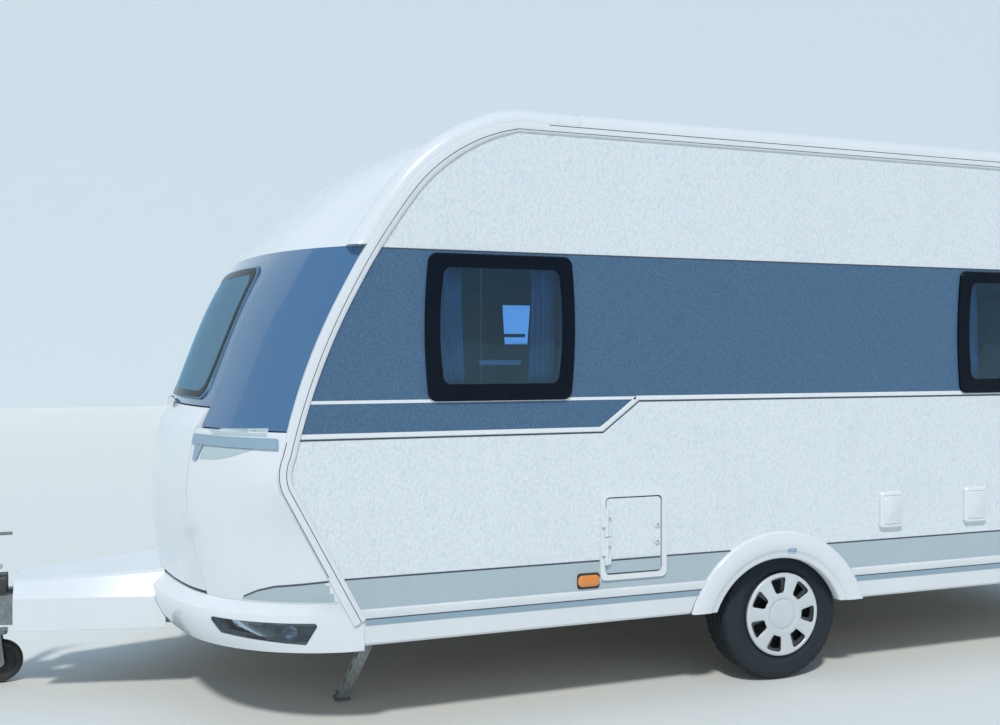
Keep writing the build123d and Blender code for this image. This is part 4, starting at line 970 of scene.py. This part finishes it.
def tyre(name, side, body):
    half = [(tread["radius"] - tread["crown"] * y * y, y, y in grooveDeep) for y in grooveRows]
    section = [(r, y, False) for r, y in tyreSection] + half
    section += [(r, -y, deep) for r, y, deep in section[::-1]]
    section = [(r, y * tread["half"] / tread["drawnHalf"], deep) for r, y, deep in section]
    loops = []
    for turn in range(tread["turns"]):
        loop = []
        for r, y, deep in section:
            sipe = turn % 7 in (0, 1) and 0.060 < abs(y) < 0.0855 and r > 0.300
            narrow = turn % 7 == 3 and 0.020 < abs(y) < 0.050 and r > 0.300
            cut = tread["groove"] if deep else tread["sipe"] if sipe else tread["narrow"] if narrow else 0
            r = r - cut
            skew = tread["skew"] * abs(y) / tread["half"] if r > 0.295 else 0
            x, z = polar(wheel["x"], wheel["z"], r, 2 * math.pi * turn / tread["turns"] + skew)
            loop.append((x, side * wheel["y"] + y, z))
        loops.append(loop)
    made = piece(name, *bridge(loops + [loops[0]], False, False, False), tyreRubber, body, 32)
    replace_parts(made, "tyre_left" if side < 0 else "tyre_right")


# Wheel covers with seven tapered windows, a ringed hub and a plain cap
cover = {"windows": 7, "start": 98.7, "inner": 0.104, "outer": 0.176, "face": 1.0955, "turnSteps": 20,
         "dip": 0.0012, "thickness": 0.003}
coverRings = [(0.0, 0.0085), (0.030, 0.0083), (0.058, 0.0075), (0.064, 0.0068), (0.067, 0.0040),
              (0.069, 0.0036), (0.074, 0.0036), (0.077, 0.0068), (0.084, 0.0076), (0.098, 0.0074),
              (0.104, 0.0070), (0.116, 0.0068), (0.134, 0.0066), (0.152, 0.0064), (0.168, 0.0060),
              (0.176, 0.0058), (0.184, 0.0066), (0.190, 0.0060), (0.194, 0.0040), (0.1975, 0.0)]


def wheelCover(name, side, body):
    sector = 2 * math.pi / cover["windows"]
    steps = cover["turnSteps"]
    around = cover["windows"] * steps
    points = [(wheel["x"], side * (cover["face"] + coverRings[0][1]), wheel["z"])]
    for radius, out in coverRings[1:]:
        inHole = cover["inner"] <= radius <= cover["outer"]
        share = (radius - cover["inner"]) / (cover["outer"] - cover["inner"]) if inHole else 0.5
        opening = 0.47 + 0.08 * share - (0.10 if share in (0, 1) and inHole else 0)
        for index in range(cover["windows"]):
            middle = math.radians(cover["start"]) + index * sector
            for step in range(steps):
                if step <= 5:
                    t = -1 + (1 - opening) * step / 5
                elif step < 15:
                    t = -opening + 2 * opening * (step - 5) / 10
                else:
                    t = opening + (1 - opening) * (step - 15) / 5
                x, z = polar(wheel["x"], wheel["z"], radius, middle + t * sector / 2)
                dip = cover["dip"] if inHole and step in (3, 4, 5, 15, 16, 17) else 0
                points.append((x, side * (cover["face"] + out - dip), z))
    faces = [(0, 1 + step, 1 + (step + 1) % around) for step in range(around)]
    for row, ((low, _), (high, _)) in enumerate(zip(coverRings[1:], coverRings[2:])):
        holed = low >= cover["inner"] and high <= cover["outer"]
        for step in range(around):
            if holed and 5 <= step % steps < 15:
                continue
            a, b = 1 + row * around + step, 1 + row * around + (step + 1) % around
            faces.append((a, b, b + around, a + around))
    made = piece(name, points, faces, silverPaint, body, 50)
    thick = made.modifiers.new("thickness", "SOLIDIFY")
    thick.thickness = cover["thickness"]
    thick.offset = -1


for side, word in sides:
    body = "wheel_" + word.lower()
    tyre("tyreTread" + word, side, body)
    wheelCover("wheelCover" + word, side, body)
print("wheels dressed")

# Service hatch: grey foot, its line and two locks; the hatch on the other side gets one lock
hatchSpot = sideSpot(-1, hatchFace)
leaf = "service_hatch_leaf"
x0, x1, z0, top = hatchLeaf[0] + filmGap, hatchLeaf[1] - filmGap, hatchLeaf[2] + filmGap, greyBand["top"]
plate("hatchGrey", [[(x0, z0), (x1, z0), (x1, top), (x0, top)]], hatchSpot, greyFilm, leaf)
stripe("hatchGreyLine", [(x0, top), (x1, top)], greyBand["line"], hatchSpot, darkLineAndGapShade, body=leaf)


def lockSet(name, spot, u, v, body):
    slot = roundedLoop(u - 0.0008, u + 0.0008, v - 0.004, v + 0.004, 0.0006, 3)
    button(name + "Base", circleLoop(u, v, 0.013, 28), spot, 0.0, 0.0045, smoothWhite, body, 0.0015)
    button(name + "Barrel", circleLoop(u, v, 0.0065, 20), spot, 0.0045, 0.0062, brightMetal, body, 0.001)
    button(name + "Slot", slot, spot, 0.0062, 0.0064, blackRubber, body, 0.0001)


lockSet("hatchLockHigh", hatchSpot, -0.030, 0.790, leaf)
lockSet("hatchLockLow", hatchSpot, -0.030, 0.715, leaf)
lockSet("cassetteLock", sideSpot(1, hatchFace), 1.620, 0.700, "cassette_hatch_leaf")
print("hatches dressed")

# Inlet covers: raised flap, grip lip and hinge pin
inletSpans = [(1.188, 1.321, 0.699, 0.877), (1.707, 1.850, 0.699, 0.878)]
inletFace = 0.022
spot = sideSpot(-1)
for index, (x0, x1, z0, z1) in enumerate(inletSpans):
    middle = (x0 + x1) / 2
    flap = roundedLoop(x0 + 0.014, x1 - 0.014, z0 + 0.020, z1 - 0.022, 0.014)
    button("inletFlap" + str(index), flap, spot, inletFace - 0.002, inletFace + 0.0035, smoothWhite, root,
           0.003)
    grip = roundedLoop(middle - 0.022, middle + 0.022, z0 + 0.026, z0 + 0.034, 0.0038)
    button("inletGrip" + str(index), grip, spot, inletFace + 0.003, inletFace + 0.006, smoothWhite)
    rod("inletPin" + str(index), [spot(x, z1 - 0.016, inletFace) for x in (x0 + 0.018, middle, x1 - 0.018)],
        0.0032, smoothWhite)
print("inlets dressed")

# Side markers: a dark base with a domed amber lens
marker = {"low": 0.531, "high": 0.590,
          "places": [(-1, -0.417, -0.307), (1, -0.860, -0.750), (-1, 2.540, 2.650), (1, 2.540, 2.650)],
          "dome": [(0.004, 0.005), (0.005, 0.011), (0.009, 0.0155), (0.016, 0.0175), (0.022, 0.018)]}
low, high = marker["low"], marker["high"]
for index, (side, x0, x1) in enumerate(marker["places"]):
    spot = sideSpot(side)
    base = roundedLoop(x0 + 0.002, x1 - 0.002, low - 0.004, high + 0.004, 0.014)
    lens = steppedLoops(roundedLoop(x0, x1, low, high, 0.024, 8), spot, marker["dome"])
    stand([button("markerBase" + str(index), base, spot, 0.0002, 0.006, blackRubber),
           solid("markerLens" + str(index), lens, amber, root, 60)], "side_markers")
print("markers fitted")

# Entrance door: films, handle on its plate and the lock
doorSpot = sideSpot(1, doorFace)
x0, x1 = doorX[0] + 0.008, doorX[1] - 0.008
plate("doorBand", [box(x0, x1, bandFoot, bandTop), bowedLoop(*doorPane)], doorSpot, slateFilm, door)
stripe("doorBandLine", [(x0, lineZ), (x1, lineZ)], band["line"], doorSpot, whiteLine, body=door)
plate("doorGrey", [box(x0, x1, 0.530, greyBand["top"])], doorSpot, greyFilm, door)
handle = {"x": -0.130, "z": 1.210,
          "bar": [(0.060, 0.004), (0.060, 0.013), (0.020, 0.0135), (-0.045, 0.0135), (-0.045, 0.004)]}
x, z = handle["x"], handle["z"]
button("doorHandlePlate", roundedLoop(x - 0.042, x + 0.030, z - 0.090, z + 0.090, 0.016), doorSpot, 0.0, 0.005,
       blackRubber, door)
rod("doorHandleBar", [doorSpot(x, z + rise, out) for rise, out in handle["bar"]], 0.006, chromeTone, door)
lockSet("doorLock", doorSpot, x - 0.020, z - 0.074, door)
print("door dressed")

# Rear wall: dark band round the window, grab handles, lamp lenses, blank plate and high lamp
rearHalf = 1.120
rearHole = bowedLoop(rearPane[0], rearPane[1] - 2 * filmGap, windowFoot + filmGap, windowHead - filmGap)
plate("bandBack", [box(-rearHalf, rearHalf, bandFoot, bandTop), rearHole], rearSpot, slateFilm)
for name, z in (("Low", lineZ), ("High", bandTop + 0.004)):
    stripe("bandBackLine" + name, [(-rearHalf, z), (rearHalf, z)], band["line"], rearSpot, whiteLine)
wideLenses = [(-0.5, -0.17, redLens), (-0.17, 0.17, amber), (0.17, 0.5, redLens)]
rearLamps = [("Wide", 0.930, 0.300, 0.470, 0.610, wideLenses),
             ("Narrow", 0.640, 0.110, 0.485, 0.595, [(-0.5, 0.5, redLens)])]
grab = {"y": 1.020, "z": 1.120, "rise": 0.210, "radius": 0.011, "foot": 0.024,
        "bar": [(0.0, -0.004), (0.0, 0.043), (0.060, 0.047), (0.150, 0.047), (0.210, 0.043), (0.210, -0.004)]}
bumperFace = 3.331


def bumperSpot(u, v, out):
    return (bumperFace + out, u, v)


for side, word in sides:
    for kind, centre, width, low, high, parts in rearLamps:
        for index, (start, end, look) in enumerate(parts):
            loop = roundedLoop(side * centre + start * width + 0.005, side * centre + end * width - 0.005,
                               low + 0.008, high - 0.008, 0.016)
            button("rearLens" + kind + word + str(index), loop, bumperSpot, -0.004, 0.0035, look, root, 0.003)
    y = side * grab["y"]
    rod("grabBar" + word, [(rearFace + out, y, grab["z"] + rise) for rise, out in grab["bar"]], grab["radius"],
        smoothWhite)
    for name, rise in (("Low", 0.0), ("High", grab["rise"])):
        disc = circleLoop(y, grab["z"] + rise, grab["foot"], 28)
        button("grabFoot" + word + name, disc, rearSpot, 0.0, 0.008, smoothWhite, root, 0.003)
rearParts = [("plateHolder", (-0.270, 0.270, 0.740, 0.870, 0.012), 0.0, 0.010, smoothWhite, 0.003),
             ("plateFace", (-0.258, 0.258, 0.752, 0.858, 0.006), 0.010, 0.0115, paleGreyAndRecessShade, 0.0008),
             ("highLamp", (-0.160, 0.160, 2.300, 2.328, 0.012), 0.0, 0.014, redLens, 0.005)]
for name, size, low, high, look, soft in rearParts:
    button(name, roundedLoop(*size), rearSpot, low, high, look, root, soft)
print("rear dressed")

# Roof: frames round the domes
domes = [(1.250, 0.700), (-0.150, 0.300), (2.600, 0.300)]
domeProfile = [(0.0, -0.002), (0.0, 0.010), (0.006, 0.016), (0.040, 0.018), (0.046, 0.012), (0.046, -0.002)]
for index, (x, size) in enumerate(domes):
    half = size / 2 + 0.045
    loops = steppedLoops(roundedLoop(x - half, x + half, -half, half, 0.060, 8), roofSpot, domeProfile)
    piece("domeFrame" + str(index), *bridge(loops + [loops[0]], False), smoothWhite, root, 50)

# Rounded strip that closes the roof's rear corner
rearStrip = {"x": 3.115, "z": 2.428, "radius": 0.160, "lift": 0.0012, "depth": 0.012, "low": 22, "high": 68,
             "sideRadius": 0.060, "sideStart": 1.090, "ends": (1.118, 1.112, 1.105, 1.095, 1.080)}
spread = [-y for y in rearStrip["ends"]] + list(rearStrip["ends"])[::-1]
loops = []
for y in spread:
    past = max(abs(y) - rearStrip["sideStart"], 0)
    drop = rearStrip["sideRadius"] - math.sqrt(rearStrip["sideRadius"] ** 2 - past**2)
    outer, inner = [], []
    for angle in range(rearStrip["low"], rearStrip["high"] + 1, 2):
        share = (angle - rearStrip["low"]) / (rearStrip["high"] - rearStrip["low"])
        reach = rearStrip["radius"] - drop + 0.0004 + rearStrip["lift"] * math.sin(math.pi * share)
        turn = Vector((math.cos(math.radians(angle)), 0, math.sin(math.radians(angle))))
        corner = Vector((rearStrip["x"], y, rearStrip["z"]))
        outer.append(corner + turn * reach)
        inner.append(corner + turn * (reach - rearStrip["depth"]))
    loops.append(outer + inner[::-1])
solid("rearStrip", loops, smoothWhite, root, 40)
print("roof dressed")

# Drawbar: grip on the handbrake lever
gripPath = [(-2.786, -0.066, 0.583), (-2.800, -0.066, 0.577), (-2.850, -0.066, 0.556), (-2.868, -0.066, 0.548)]
rod("leverGrip", gripPath, 0.0135, blackRubber)
print("drawbar dressed")

# Light, floor and backdrop
light = {"skyLow": (0.68, 0.76, 0.82, 1), "skyHigh": (0.30, 0.48, 0.74, 1), "skyReach": 0.7, "sky": 0.75,
         "sun": 2.15, "sunAngle": 6, "sunColor": (1.0, 0.97, 0.93), "sunTilt": 40, "sunTurn": -28}
world = bpy.data.worlds.new("sky")
scene.world = world
world.use_nodes = True
tree = world.node_tree
background = tree.nodes["Background"]
place, split, ramp = [addNode(tree, kind) for kind in ("TexCoord", "SeparateXYZ", "ValToRGB")]
lowTone, highTone = ramp.color_ramp.elements
lowTone.position, lowTone.color = 0.0, light["skyLow"]
highTone.position, highTone.color = light["skyReach"], light["skyHigh"]
join(tree, (place, "Generated", split, "Vector"), (split, "Z", ramp, "Fac"),
     (ramp, "Color", background, "Color"))
background.inputs["Strength"].default_value = light["sky"]

sun = bpy.data.objects.new("sun", bpy.data.lights.new("sun", "SUN"))
scene.collection.objects.link(sun)
sun.data.energy = light["sun"]
sun.data.angle = math.radians(light["sunAngle"])
sun.data.color = light["sunColor"]
sun.rotation_euler = (math.radians(light["sunTilt"]), 0, math.radians(light["sunTurn"]))

stage = {"reach": 60, "floor": -0.002, "wallY": 26, "wallFoot": -0.01, "wallTop": 40}


def stagePiece(name, points, color):
    mesh = bpy.data.meshes.new(name)
    mesh.from_pydata(points, [], [(0, 1, 2, 3)])
    mesh.materials.append(paint(name, color=color, roughness=0.9, edge=0.0, aging=0.02, strength=0.05))
    obj = bpy.data.objects.new(name, mesh)
    scene.collection.objects.link(obj)
    obj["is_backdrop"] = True


far, low, high = stage["reach"], stage["wallFoot"], stage["wallTop"]
floorCorners = [(-far, -far), (far, -far), (far, far), (-far, far)]
wallCorners = [(-far, low), (far, low), (far, high), (-far, high)]
stagePiece("ground", [(x, y, stage["floor"]) for x, y in floorCorners], (226, 228, 222))
stagePiece("backdrop", [(x, stage["wallY"], z) for x, z in wallCorners], (218, 226, 230))

low, high = cadBox
newLow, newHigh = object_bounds()
{"cad": [list(low), list(high)], "visual": [list(newLow), list(newHigh)]}
print("scene ready")
